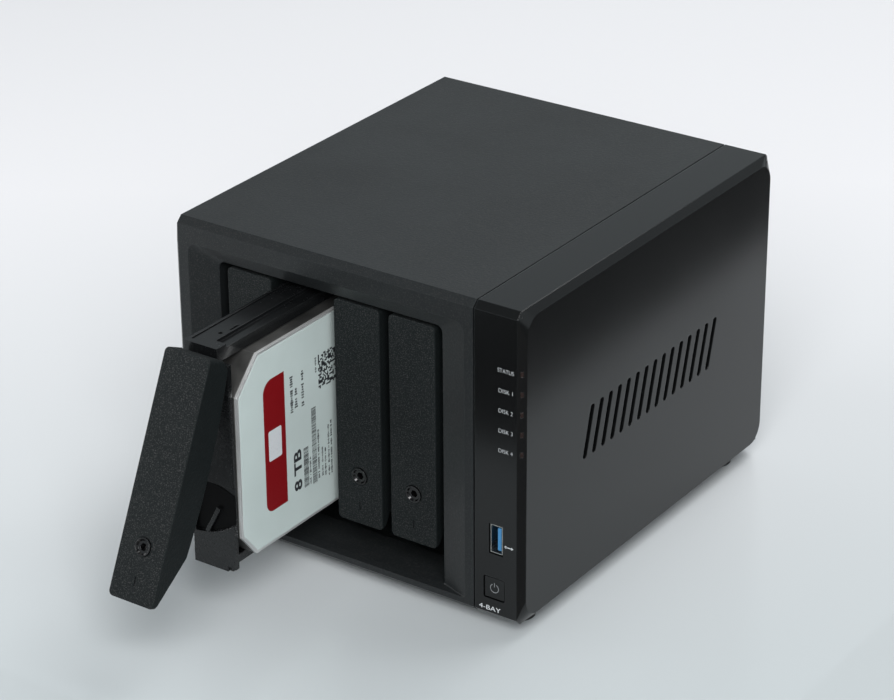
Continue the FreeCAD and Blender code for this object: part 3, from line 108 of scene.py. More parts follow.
class Surface(Graph):
    """A material's shader tree, with the patterns that the finishes share."""

    def __init__(self, name: str) -> None:
        """Starts a material with one glossy shader."""
        self.material = bpy.data.materials.new(name)
        self.material.use_nodes = True
        super().__init__(self.material.node_tree)
        self.tree.nodes.clear()
        self.output = self.add("ShaderNodeOutputMaterial")
        self.shader = self.add("ShaderNodeBsdfPrincipled")
        self.tree.links.new(self.shader.outputs["BSDF"], self.output.inputs["Surface"])
        self.place = self.add("ShaderNodeTexCoord").outputs["Object"]

    def set(self, **values: Value) -> None:
        """Sets the shader's inputs; an underscore stands for a space."""
        for name, value in values.items():
            if isinstance(value, tuple) and len(value) == 3:
                value = (*value, 1.0)
            self.feed(self.shader.inputs[name.replace("_", " ")], value)

    def stretched(self, scale: Sequence[float]) -> Socket:
        """Object coordinates scaled along each axis."""
        node = self.add("ShaderNodeMapping", {"Vector": self.place, "Scale": tuple(scale)})
        return node.outputs["Vector"]

    def noise(self, size: float, detail: float = 2.0, place: Optional[Socket] = None,
              roughness: float = 0.5) -> Socket:
        """Soft noise with features of about that size in metres."""
        node = self.add("ShaderNodeTexNoise", {"Vector": place or self.place, "Scale": 1.0 / size,
                                               "Detail": detail, "Roughness": roughness})
        return node.outputs[0]

    def cells(self, size: float, feature: str = "F1") -> Socket:
        """Distance pattern of cells of about that size in metres."""
        node = self.add("ShaderNodeTexVoronoi", {"Vector": self.place, "Scale": 1.0 / size}, feature=feature)
        return node.outputs["Distance"]

    def span(self, source: Value, low: float = 0.3, high: float = 0.7, out_low: float = 0.0,
             out_high: float = 1.0) -> Socket:
        """Maps low..high of a pattern to another range, clamped; noise mostly lies in 0.3..0.7."""
        node = self.add("ShaderNodeMapRange", {"Value": source, "From Min": low, "From Max": high,
                                               "To Min": out_low, "To Max": out_high}, clamp=True)
        return node.outputs["Result"]

    def maths(self, what: str, first: Value, second: Value = 0.0) -> Socket:
        """One step of arithmetic."""
        node = self.add("ShaderNodeMath", {0: first, 1: second}, operation=what)
        return node.outputs[0]

    def mean(self, first: Value, second: Value, share: float = 0.5) -> Socket:
        """Weighted mean of two patterns; share is the first one's part."""
        return self.maths("ADD", self.maths("MULTIPLY", first, share),
                          self.maths("MULTIPLY", second, round(1.0 - share, 6)))

    def blend(self, share: Value, first: Union[Colour, Socket],
              second: Union[Colour, Socket]) -> Socket:
        """Mixes two colours."""
        node = self.add("ShaderNodeMix", data_type="RGBA")
        for name, value in (("Factor", share), ("A", first), ("B", second)):
            if isinstance(value, tuple):
                value = (*value, 1.0)
            self.feed(self.socket(node.inputs, name), value)
        return self.socket(node.outputs, "Result")

    def rounded(self, radius: float) -> Socket:
        """Normals that turn smoothly round sharp edges."""
        return self.add("ShaderNodeBevel", {"Radius": radius}, samples=4).outputs["Normal"]

    def edges(self, rounded: Socket) -> Socket:
        """1 along sharp edges, 0 on the faces between them."""
        geometry = self.add("ShaderNodeNewGeometry")
        node = self.add("ShaderNodeVectorMath", {0: rounded, 1: geometry.outputs["True Normal"]},
                        operation="DOT_PRODUCT")
        return self.span(node.outputs["Value"], 0.97, 0.80)

    def relief(self, height: Value, depth: float, normal: Optional[Socket],
               strength: float = 1.0) -> Socket:
        """Bumps a surface by a pattern, depth metres at most."""
        node = self.add("ShaderNodeBump", {"Height": height, "Distance": depth, "Strength": strength})
        if normal is not None:
            self.feed(node.inputs["Normal"], normal)
        return node.outputs["Normal"]


# ---------------------------------------------------------------- finishes
class Axis(Enum):
    """The way a brushed or drawn surface's marks run."""

    X = (0.02, 1.0, 1.0)
    Y = (1.0, 0.02, 1.0)
    Z = (1.0, 1.0, 0.02)


@dataclass(frozen=True)
class MouldedPlastic:
    """Spark-eroded or polished moulded plastic.

    Args:
        name: material name.
        colour: base colour.
        worn: colour along handled edges.
        roughness: lowest and highest roughness.
        grain: size of the texture's grains in metres.
        depth: depth of the grains in metres.
        edge: radius that edges look rounded by.
        gloss: how much it mirrors.
        speckle: painted highlight, how much lighter its grains are on faces that don't look sideways,
            standing in for the texture's glints.
    """

    name: str
    colour: Colour
    worn: Colour
    roughness: tuple[float, float]
    grain: float
    depth: float
    edge: float = 0.0004
    gloss: float = 0.5
    speckle: float = 0.0

    def grains(self, s: Surface, base: Socket) -> Socket:
        """Adds light grains to a base colour, on all but the faces that look sideways: the grains are the
        real texture, their lightness a painted highlight of its glints.
        """
        normal = s.add("ShaderNodeTexCoord").outputs["Normal"]
        across = s.add("ShaderNodeSeparateXYZ", {"Vector": normal}).outputs["X"]
        facing = s.span(s.maths("ABSOLUTE", across), 0.3, 0.6, 1.0, 0.1)
        dots = s.span(s.noise(self.grain * 0.55, 1.0), 0.56, 0.68)
        return s.blend(s.maths("MULTIPLY", dots, facing), base, (self.speckle,) * 3)

    def material(self) -> Material:
        """Builds the material."""
        s = Surface(self.name)
        rounded = s.rounded(self.edge)
        edge = s.edges(rounded)
        broad = s.noise(0.06, 3.0)
        fine = s.noise(self.grain, 2.0, roughness=0.6)
        pits = s.cells(self.grain * 1.7)
        lighter = tuple(c * 1.5 + 0.002 for c in self.colour)
        base = s.blend(s.span(broad, 0.35, 0.65), self.colour, tuple(c * 0.82 for c in self.colour))
        base = s.blend(s.span(fine, 0.55, 0.75, 0.0, 0.5), base, lighter)
        if self.speckle:
            # painted highlight: light grain glints, weaker on faces that look sideways
            base = self.grains(s, base)
        s.set(Base_Color=s.blend(s.maths("MULTIPLY", edge, 0.55), base, self.worn))
        low, high = self.roughness
        rough = s.span(s.mean(broad, fine, 0.6), 0.3, 0.7, low, high)
        s.set(Roughness=s.maths("SUBTRACT", rough, s.maths("MULTIPLY", edge, 0.12)))
        s.set(Normal=s.relief(s.mean(fine, pits, 0.7), self.depth, rounded), Specular_IOR_Level=self.gloss)
        return s.material


@dataclass(frozen=True)
class SheetMetal:
    """Rolled, brushed or coated metal.

    Args:
        name: material name.
        colour: base colour.
        roughness: lowest and highest roughness.
        marks: the way its drawing marks run.
        scratch: width of those marks in metres.
        metallic: 1 for bare metal, less where it is painted.
    """

    name: str
    colour: Colour
    roughness: tuple[float, float]
    marks: Axis = Axis.Z
    scratch: float = 0.0003
    metallic: float = 1.0
    depth: float = 0.00001
    edge: float = 0.0002

    def material(self) -> Material:
        """Builds the material."""
        s = Surface(self.name)
        rounded = s.rounded(self.edge)
        edge = s.edges(rounded)
        lines = s.noise(self.scratch, 3.0, s.stretched(self.marks.value))
        smear = s.noise(0.025, 3.0)
        darker = tuple(c * 0.72 for c in self.colour)
        brighter = tuple(min(1.0, c * 1.25 + 0.03) for c in self.colour)
        base = s.blend(s.span(smear), darker, self.colour)
        base = s.blend(s.span(lines, 0.5, 0.8, 0.0, 0.35), base, darker)
        s.set(Base_Color=s.blend(s.maths("MULTIPLY", edge, 0.8), base, brighter), Metallic=self.metallic)
        low, high = self.roughness
        s.set(Roughness=s.span(s.mean(lines, smear), 0.3, 0.7, low, high))
        s.set(Normal=s.relief(lines, self.depth, rounded))
        return s.material


@dataclass(frozen=True)
class CastAluminium:
    """Die-cast metal with a pitted skin."""

    name: str = "cast_aluminium"
    colour: Colour = (0.15, 0.15, 0.146)

    def material(self) -> Material:
        """Builds the material."""
        s = Surface(self.name)
        rounded = s.rounded(0.0007)
        edge = s.edges(rounded)
        flow = s.noise(0.012, 4.0)
        pits = s.cells(0.0009)
        skin = s.noise(0.0005, 3.0)
        base = s.blend(s.span(flow), tuple(c * 0.6 for c in self.colour), self.colour)
        s.set(Base_Color=s.blend(edge, base, (0.26, 0.26, 0.255)), Metallic=0.85)
        s.set(Roughness=s.span(s.mean(flow, skin), 0.3, 0.7, 0.42, 0.62))
        height = s.maths("ADD", s.maths("MULTIPLY", pits, 0.6), skin)
        s.set(Normal=s.relief(height, 0.00006, rounded))
        return s.material


@dataclass(frozen=True)
class CircuitBoard:
    """Solder mask over copper tracks."""

    name: str = "board_green"

    def material(self) -> Material:
        """Builds the material."""
        s = Surface(self.name)
        tracks = s.add("ShaderNodeTexVoronoi", {"Vector": s.place, "Scale": 260.0, "Randomness": 0.7},
                       feature="F1", distance="MANHATTAN").outputs["Distance"]
        lines = s.maths("PINGPONG", tracks, 0.14)
        mask = s.span(lines, 0.05, 0.07)
        pads = s.span(s.cells(0.0042), 0.16, 0.12)
        tone = s.noise(0.03, 2.0)
        base = s.blend(mask, (0.012, 0.085, 0.045), (0.008, 0.05, 0.028))
        base = s.blend(s.span(tone, 0.3, 0.7, 0.0, 0.3), base, (0.02, 0.11, 0.07))
        s.set(Base_Color=s.blend(pads, base, (0.62, 0.47, 0.18)), Metallic=s.maths("MULTIPLY", pads, 0.9))
        s.set(Roughness=s.span(tone, 0.3, 0.7, 0.28, 0.45), Normal=s.relief(mask, 0.00003, s.rounded(0.0002)))
        return s.material


@dataclass(frozen=True)
class Paper:
    """Satin film or coated paper of a label."""

    name: str = "label_print"
    colour: Colour = (0.56, 0.635, 0.62)

    def material(self) -> Material:
        """Builds the material."""
        s = Surface(self.name)
        cloud = s.noise(0.03, 3.0)
        fibre = s.noise(0.0004, 3.0)
        base = s.blend(s.span(cloud), tuple(c * 0.93 for c in self.colour), self.colour)
        darker = tuple(c * 0.8 for c in self.colour)
        s.set(Base_Color=s.blend(s.span(fibre, 0.6, 0.8, 0.0, 0.15), base, darker))
        s.set(Roughness=s.span(cloud, 0.3, 0.7, 0.34, 0.46), Normal=s.relief(fibre, 0.000004, None))
        return s.material


@dataclass(frozen=True)
class Ink:
    """Screen-printed or thermal ink, a little uneven where it took.

    Args:
        name: material name.
        colour: colour where it took fully.
        thin: colour where it is thinnest.
    """

    name: str
    colour: Colour
    thin: Colour
    roughness: float = 0.45

    def material(self) -> Material:
        """Builds the material."""
        s = Surface(self.name)
        cover = s.noise(0.0009, 4.0, roughness=0.7)
        s.set(Base_Color=s.blend(s.span(cover, 0.58, 0.74, 0.0, 0.6), self.colour, self.thin))
        s.set(Roughness=s.span(cover, 0.3, 0.7, self.roughness - 0.08, self.roughness + 0.1))
        s.set(Normal=s.relief(cover, 0.000003, None))
        return s.material


@dataclass(frozen=True)
class SmokedLens:
    """Tinted clear plastic over an unlit light."""

    name: str = "light_clear"

    def material(self) -> Material:
        """Builds the material."""
        s = Surface(self.name)
        haze = s.noise(0.0008, 3.0)
        s.set(Base_Color=s.blend(s.span(haze), (0.012, 0.007, 0.006), (0.022, 0.011, 0.009)))
        s.set(Roughness=s.span(haze, 0.3, 0.7, 0.12, 0.3), Coat_Weight=0.3, Coat_Roughness=0.08)
        s.set(Normal=s.relief(haze, 0.00002, s.rounded(0.0003)))
        return s.material


class Finishes:
    """Every finish of the box, built once and found by its slot's name."""

    def __init__(self) -> None:
        """Builds the materials, and reads which slot each CAD part takes."""
        made = [
            MouldedPlastic("shell_plastic", (0.0115, 0.0135, 0.0145), (0.03, 0.033, 0.035), (0.36, 0.46),
                           0.0009, 0.00008, 0.0005, 0.28, 0.03),
            MouldedPlastic("side_plastic", (0.0040, 0.0043, 0.0045), (0.02, 0.022, 0.024), (0.15, 0.2),
                           0.0009, 0.00001, 0.0005, 0.42),
            MouldedPlastic("handle_plastic", (0.009, 0.0115, 0.012), (0.025, 0.028, 0.03), (0.45, 0.6),
                           0.0009, 0.00025, 0.0004, 0.1, 0.045),
            # painted shade: near-black finish of the plate that darkens the latch pockets' recess
            MouldedPlastic("pocket_painted_shade", (0.002, 0.002, 0.0022), (0.01, 0.01, 0.01), (0.3, 0.4),
                           0.002, 0.000005, 0.0002, 0.06),
            MouldedPlastic("tray_plastic", (0.0055, 0.006, 0.0065), (0.05, 0.052, 0.054), (0.22, 0.32),
                           0.0016, 0.000005, 0.0002, 0.4),
            SheetMetal("panel_steel", (0.03, 0.031, 0.033), (0.45, 0.6), Axis.X, 0.0008, 0.2, 0.00004),
            SheetMetal("cage_steel", (0.42, 0.43, 0.44), (0.3, 0.5), Axis.Y, 0.0006),
            CastAluminium(),
            SheetMetal("lid_steel", (0.72, 0.73, 0.73), (0.28, 0.4), Axis.Z, 0.0004, 0.55, 0.000002, 0.0001),
            Paper(),
            CircuitBoard(),
            MouldedPlastic("connector_plastic", (0.012, 0.0125, 0.013), (0.03, 0.03, 0.03), (0.4, 0.55),
                           0.0012, 0.00003, 0.0002),
            SheetMetal("port_steel", (0.55, 0.55, 0.53), (0.16, 0.3), Axis.Y, 0.0003),
            MouldedPlastic("usb_blue", (0.045, 0.22, 0.46), (0.15, 0.4, 0.62), (0.3, 0.42),
                           0.0008, 0.00002, 0.0002),
            SheetMetal("sink_aluminium", (0.5, 0.5, 0.52), (0.3, 0.45), Axis.Y, 0.0003),
            MouldedPlastic("fan_plastic", (0.016, 0.016, 0.017), (0.04, 0.04, 0.04), (0.32, 0.45),
                           0.002, 0.00004),
            MouldedPlastic("rubber", (0.02, 0.02, 0.02), (0.035, 0.035, 0.034), (0.7, 0.85), 0.0008, 0.00008),
            SheetMetal("screw_steel", (0.06, 0.06, 0.062), (0.3, 0.45), Axis.Y, 0.0002, 0.9),
            SheetMetal("pin_steel", (0.6, 0.6, 0.6), (0.2, 0.3), Axis.X, 0.0002),
            MouldedPlastic("lock_metal", (0.003, 0.003, 0.0033), (0.03, 0.032, 0.034), (0.08, 0.15),
                           0.002, 0.000003, 0.0002),
            SmokedLens(),
            Ink("ink_white", (0.62, 0.64, 0.66), (0.35, 0.36, 0.38)),
            Ink("ink_grey", (0.2, 0.21, 0.22), (0.1, 0.1, 0.11)),
            Ink("ink_black", (0.02, 0.022, 0.026), (0.09, 0.1, 0.1)),
            Ink("ink_red", (0.2, 0.0015, 0.004), (0.23, 0.004, 0.008), 0.42),
            SheetMetal("contact_gold", (0.78, 0.58, 0.24), (0.2, 0.32), Axis.Y, 0.0002),
        ]
        self.by_name = {finish.name: finish.material() for finish in made}
        self.slots = {part["node"]: part["material_slot"] for part in frame["record"]["subparts"]}

    def dress(self, nodes: Iterable[str]) -> None:
        """Gives CAD parts the finish of their slots.

        Args:
            nodes: the parts' names.
        """
        for name in nodes:
            part, finish = frame["nodes"][name], self.by_name[self.slots[name]]
            if not part.material_slots:
                part.data.materials.append(finish)
            for place in part.material_slots:
                place.material = finish
            LOG.info("%s: %s", name, finish.name)


# ---------------------------------------------------------------- shaping
def put(name: str, data: bpy.types.ID) -> bpy.types.Object:
    """Puts new data in the scene as an object."""
    made = bpy.data.objects.new(name, data)
    bpy.context.scene.collection.objects.link(made)
    return made


class Facing(Enum):
    """Which way a printed or mounted face looks, as its right and up directions."""

    FRONT = ((1, 0, 0), (0, 0, 1))
    BACK = ((-1, 0, 0), (0, 0, 1))
    LID = ((0, 0, 1), (0, -1, 0))

    def at(self, corner: Sequence[float]) -> Matrix:
        """Matrix from a flat drawing to its place.

        Args:
            corner: the drawing's origin, in metres.

        Returns:
            The placing matrix; the drawing's Z is the face's outward normal.
        """
        right, up = (Vector(v) for v in self.value)
        turn = Matrix((right, up, right.cross(up))).transposed().to_4x4()
        return Matrix.Translation(Vector(corner)) @ turn


class Drawing:
    """Flat forms with a thickness, gathered into one mesh."""

    def __init__(self) -> None:
        """Starts empty."""
        self.work = bmesh.new()

    def slab(self, outline: Sequence[Point], low: float, high: float) -> "Drawing":
        """Adds a closed plate.

        Args:
            outline: corners, anticlockwise.
            low: lower face's height.
            high: upper face's height.

        Returns:
            The drawing itself.
        """
        rows = [[self.work.verts.new((x, y, z)) for x, y in outline] for z in (low, high)]
        self.work.faces.new(rows[1])
        self.work.faces.new(list(reversed(rows[0])))
        for i in range(len(outline)):
            j = (i + 1) % len(outline)
            self.work.faces.new((rows[0][i], rows[0][j], rows[1][j], rows[1][i]))
        return self

    def arc(self, centre: Point, inner: float, outer: float, start: float, end: float, low: float,
            high: float, steps: int = 28) -> "Drawing":
        """Adds part of a ring, its ends at angles in degrees."""
        def along(radius: float, turns: Iterable[int]) -> list[Point]:
            angles = [math.radians(start + (end - start) * i / steps) for i in turns]
            return [(centre[0] + radius * math.cos(a), centre[1] + radius * math.sin(a)) for a in angles]

        return self.slab(along(outer, range(steps + 1)) + along(inner, range(steps, -1, -1)), low, high)

    def words(self, text: str, left: float, base: float, width: float, height: float, low: float,
              high: float, weight: float = 0.0) -> "Drawing":
        """Adds plain lettering that fills a width and a height, thicker by a weight."""
        curve = bpy.data.curves.new("lettering", "FONT")
        curve.body = text
        curve.offset = weight
        curve.extrude = 0.5
        holder = put("lettering", curve)
        made = bpy.data.meshes.new_from_object(holder.evaluated_get(bpy.context.evaluated_depsgraph_get()))
        bpy.data.objects.remove(holder)
        xs, ys = [v.co.x for v in made.vertices], [v.co.y for v in made.vertices]
        size = Vector((width / (max(xs) - min(xs)), height / (max(ys) - min(ys)), high - low))
        place = Matrix.Translation((left, base, (low + high) / 2)) @ Matrix.Diagonal((*size, 1.0))
        made.transform(place @ Matrix.Translation((-min(xs), -min(ys), 0)))
        self.work.from_mesh(made)
        bpy.data.meshes.remove(made)
        return self

    def mesh(self, name: str, place: Matrix) -> Mesh:
        """Ends the drawing and puts it in place."""
        bmesh.ops.remove_doubles(self.work, verts=self.work.verts, dist=1e-7)
        bmesh.ops.recalc_face_normals(self.work, faces=self.work.faces)
        made = bpy.data.meshes.new(name)
        self.work.to_mesh(made)
        self.work.free()
        made.transform(place)
        return made


def rounded_box(x0: float, x1: float, y0: float, y1: float, radii: Sequence[float],
                steps: int = 8) -> list[Point]:
    """Outline of a box with rounded corners.

    Args:
        x0: left.
        x1: right.
        y0: bottom.
        y1: top.
        radii: corner radii from the lower left, anticlockwise.
        steps: edges round each corner.

    Returns:
        The corners, anticlockwise.
    """
    points = []
    corners = ((x0, y0, 1, 1), (x1, y0, -1, 1), (x1, y1, -1, -1), (x0, y1, 1, -1))
    for k, (x, y, sx, sy) in enumerate(corners):
        r = max(radii[k], 1e-6)
        for i in range(steps + 1):
            a = math.radians(180 + 90 * k + 90 * i / steps)
            points.append((x + sx * r + r * math.cos(a), y + sy * r + r * math.sin(a)))
    return points


def square(half: float, low: float, high: float) -> Drawing:
    """A square plate about the origin."""
    return Drawing().slab([(-half, -half), (half, -half), (half, half), (-half, half)], low, high)


def turned(profile: Sequence[Point], steps: int) -> bmesh.types.BMesh:
    """Turns a profile of (radius, height) about Z; the ends lie on the axis."""
    work = bmesh.new()
    rings = []
    for radius, height in profile:
        count = 1 if radius < 1e-9 else steps
        angles = [2 * math.pi * i / steps for i in range(count)]
        rings.append([work.verts.new((radius * math.cos(a), radius * math.sin(a), height)) for a in angles])
    for low, high in zip(rings, rings[1:]):
        for i in range(steps):
            j = (i + 1) % steps
            corners = [low[i % len(low)], low[j % len(low)], high[j % len(high)], high[i % len(high)]]
            work.faces.new(list(dict.fromkeys(corners)))
    bmesh.ops.recalc_face_normals(work, faces=work.faces)
    return work


def add_piece(name: str, mesh: Mesh, finish: Material, body: str,
              smooth: bool = False) -> bpy.types.Object:
    """Puts a finished mesh in the scene, on its body.

    Args:
        name: the piece's name.
        mesh: its mesh, already in place.
        finish: its material.
        body: the CAD body that it moves with.
        smooth: whether curved faces look smooth.

    Returns:
        The piece.
    """
    piece = put(name, mesh)
    mesh.materials.clear()
    mesh.materials.append(finish)
    if smooth:
        mesh.shade_smooth()
        mesh.set_sharp_from_angle(angle=math.radians(35))
    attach(piece, body)
    LOG.info("%s: %d faces on %s", name, len(mesh.polygons), body)
    return piece


# ---------------------------------------------------------------- repeated forms
class Repeater:
    """Geometry Nodes tree that sets an item on points, turned and sized within given ranges."""

    INPUTS = (
        ("Item", "NodeSocketObject"), ("Share", "NodeSocketFloat"), ("Smallest", "NodeSocketVector"),
        ("Largest", "NodeSocketVector"), ("Turn Low", "NodeSocketVector"), ("Turn High", "NodeSocketVector"),
        ("Seed", "NodeSocketInt"), ("Finish", "NodeSocketMaterial"),
    )

    def __init__(self) -> None:
        """Builds the tree once."""
        tree = bpy.data.node_groups.new("items_on_points", "GeometryNodeTree")
        tree.interface.new_socket(name="Geometry", in_out="OUTPUT", socket_type="NodeSocketGeometry")
        tree.interface.new_socket(name="Points", in_out="INPUT", socket_type="NodeSocketGeometry")
        for name, kind in self.INPUTS:
            tree.interface.new_socket(name=name, in_out="INPUT", socket_type=kind)
        self.tree = tree
        g = Graph(tree)
        given = g.add("NodeGroupInput").outputs
        keep = g.add("FunctionNodeRandomValue", {"Probability": given["Share"], "Seed": given["Seed"]},
                     data_type="BOOLEAN")
        size = g.add("FunctionNodeRandomValue", {"Min": given["Smallest"], "Max": given["Largest"],
                                                 "Seed": given["Seed"]}, data_type="FLOAT_VECTOR")
        turn = g.add("FunctionNodeRandomValue", {"Min": given["Turn Low"], "Max": given["Turn High"],
                                                 "Seed": given["Seed"]}, data_type="FLOAT_VECTOR")
        item = g.add("GeometryNodeObjectInfo", {"Object": given["Item"]})
        placed = g.add("GeometryNodeInstanceOnPoints", {
            "Points": given["Points"], "Selection": g.socket(keep.outputs, "Value"),
            "Instance": item.outputs["Geometry"], "Rotation": g.socket(turn.outputs, "Value"),
            "Scale": g.socket(size.outputs, "Value")})
        real = g.add("GeometryNodeRealizeInstances", {"Geometry": placed.outputs["Instances"]})
        dressed = g.add("GeometryNodeSetMaterial", {"Geometry": real.outputs["Geometry"],
                                                    "Material": given["Finish"]})
        out = g.add("NodeGroupOutput")
        g.feed(out.inputs["Geometry"], dressed.outputs["Geometry"])

    def make(self, name: str, points: Sequence[Vector], finish: Material, body: str, slot: str,
             smallest: Sequence[float], largest: Sequence[float], share: float, tilt: float,
             seed: int) -> bpy.types.Object:
        """Sets bars on points and makes them one plain mesh.

        Args:
            name: the piece's name.
            points: where the bars go.
            finish: its material.
            body: the CAD body that it moves with.
            slot: not used.
            smallest: a bar's smallest size along each axis.
            largest: its largest.
            share: how many of the points are used, from 0 to 1.
            tilt: every bar's turn about X, in radians.
            seed: fixed seed of the choices.

        Returns:
            The piece.
        """
        model = put("item", square(0.5, -0.5, 0.5).mesh("bar", Matrix.Identity(4)))
        base = bpy.data.meshes.new(name)
        base.from_pydata([tuple(p) for p in points], [], [])
        carrier = put(name + "_points", base)
        modifier = carrier.modifiers.new("repeat", "NODES")
        modifier.node_group = self.tree
        values = {"Item": model, "Share": float(share), "Smallest": smallest, "Largest": largest,
                  "Turn Low": (tilt, 0.0, 0.0), "Turn High": (tilt, 0.0, 0.0), "Seed": seed, "Finish": finish}
        for entry in self.tree.interface.items_tree:
            if entry.name in values:
                value = values[entry.name]
                modifier[entry.identifier] = [float(v) for v in value] if isinstance(value, tuple) else value
        bpy.context.view_layer.update()
        made = bpy.data.meshes.new_from_object(carrier.evaluated_get(bpy.context.evaluated_depsgraph_get()))
        carrier.modifiers.clear()
        bpy.data.objects.remove(carrier)
        bpy.data.objects.remove(model)
        return add_piece(name, made, finish, body)


def row(start: Sequence[float], step: Sequence[float], count: int) -> list[Vector]:
    """Evenly spaced points."""
    return [Vector(start) + Vector(step) * i for i in range(count)]


@dataclass
class Kit:
    """What every sub-assembly builds with."""

    finishes: Finishes
    repeater: Repeater

    def add(self, name: str, mesh: Mesh, finish: str, body: str, slot: str = "label_print",
            smooth: bool = False) -> None:
        """Adds a piece in the finish of that name, as add_piece does."""
        add_piece(name, mesh, self.finishes.by_name[finish], body, smooth)

    def bars(self, name: str, points: Sequence[Vector], finish: str, body: str, slot: str,
             smallest: Sequence[float], largest: Sequence[float] = (), share: float = 1.0, tilt: float = 0.0,
             seed: int = 1) -> None:
        """Adds bars on points, all of one size if no largest is given, as Repeater.make does."""
        self.repeater.make(name, points, self.finishes.by_name[finish], body, slot, smallest,
                           largest or smallest, share, tilt, seed)


# ---------------------------------------------------------------- case
@dataclass
class Case:
    """The two covers, the base's feet and doors, and the control strip's print."""

    kit: Kit
    print_t: float = 0.03 * MM
    letter_h: float = 1.95 * MM
    status_w: float = 8.7 * MM
    disk_w: float = 7.5 * MM
    names_right: float = 5.1 * MM  # middle of the names, right of the port's middle
    ring: Point = (2.05 * MM, 2.4 * MM)
    ring_turn: Point = (118, 422)
    lights: int = 5
    nodes: tuple[str, ...] = ("main_cover", "side_cover", "slot_doors", "feet", "light_pipes",
                              "power_button", "front_usb_shield", "front_usb_tongue", "front_board")

    def build(self) -> None:
        """Dresses the covers and adds the print and the vent's screen."""
        self.kit.finishes.dress(self.nodes)
        self.strip_print()
        self.power_mark()
        self.vent_screen()

    def light_heights(self) -> list[float]:
        """Middles of the five lights, from the top."""
        low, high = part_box("light_pipes")
        lens = 2.4 * MM
        pitch = (high.z - low.z - lens) / (self.lights - 1)
        return [high.z - lens / 2 - pitch * i for i in range(self.lights)]

    def strip_print(self) -> None:
        """White names beside the lights, a bay count and a plain mark beside the port."""
        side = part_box("side_cover")[0]
        button_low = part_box("power_button")[0]
        usb_low, usb_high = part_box("front_usb_shield")
        middle = (usb_low.x + usb_high.x) / 2 + self.names_right
        draw = Drawing()
        thick = (-self.print_t, self.print_t)
        for number, height in enumerate(self.light_heights()):
            text = "STATUS" if number == 0 else f"DISK {number}"
            width = self.status_w if number == 0 else self.disk_w
            left, base = middle - width / 2, height - self.letter_h / 2
            draw.words(text, left, base, width, self.letter_h, *thick, -0.02)
        draw.words("4-BAY", button_low.x - 1.6 * MM, button_low.z - 5.4 * MM, 12.0 * MM, 2.3 * MM, *thick)
        mark_x, mark_z = usb_high.x + 1.7 * MM, usb_low.z + 5.2 * MM
        line = 0.22 * MM
        draw.slab(rounded_box(mark_x, mark_x + 3.6 * MM, mark_z - line, mark_z + line, [line] * 4, 3), *thick)
        draw.arc((mark_x + 0.3 * MM, mark_z), 0.0001 * MM, 0.62 * MM, 0, 359.9, *thick, steps=16)
        draw.slab([(mark_x + 3.3 * MM, mark_z - 0.7 * MM), (mark_x + 4.6 * MM, mark_z),
                   (mark_x + 3.3 * MM, mark_z + 0.7 * MM)], *thick)
        mesh = draw.mesh("strip_print", Facing.FRONT.at((0, side.y, 0)))
        self.kit.add("strip_print", mesh, "ink_white", "case")

    def power_mark(self) -> None:
        """Thin ring and bar on the power button."""
        low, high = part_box("power_button")
        draw = Drawing()
        thick = (-self.print_t, self.print_t)
        centre = ((low.x + high.x) / 2, (low.z + high.z) / 2)
        draw.arc(centre, *self.ring, *self.ring_turn, *thick)
        draw.slab(rounded_box(centre[0] - 0.17 * MM, centre[0] + 0.17 * MM, centre[1] + 0.6 * MM,
                              centre[1] + 2.9 * MM, [0.15 * MM] * 4, 3), *thick)
        self.kit.add("power_mark", draw.mesh("power_mark", Facing.FRONT.at((0, low.y, 0))), "ink_grey",
                     "power_button")

    def vent_screen(self) -> None:
        """Fine dust screen close behind the vent's slots."""
        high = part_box("side_cover")[1]
        x = high.x - 3.0 * MM
        y, z0, z1 = 61.0 * MM, 69.0 * MM, 101.0 * MM
        pitch, wire = 1.5 * MM, 0.42 * MM
        upright = row((x, -y, (z0 + z1) / 2), (0, pitch, 0), int(2 * y / pitch) + 1)
        self.kit.bars("vent_screen_upright", upright, "panel_steel", "case", "panel_steel",
                      (wire, wire, z1 - z0))
        level = row((x - wire * 0.6, 0, z0), (0, 0, pitch), int((z1 - z0) / pitch) + 1)
        self.kit.bars("vent_screen_level", level, "panel_steel", "case", "panel_steel", (wire, 2 * y, wire))


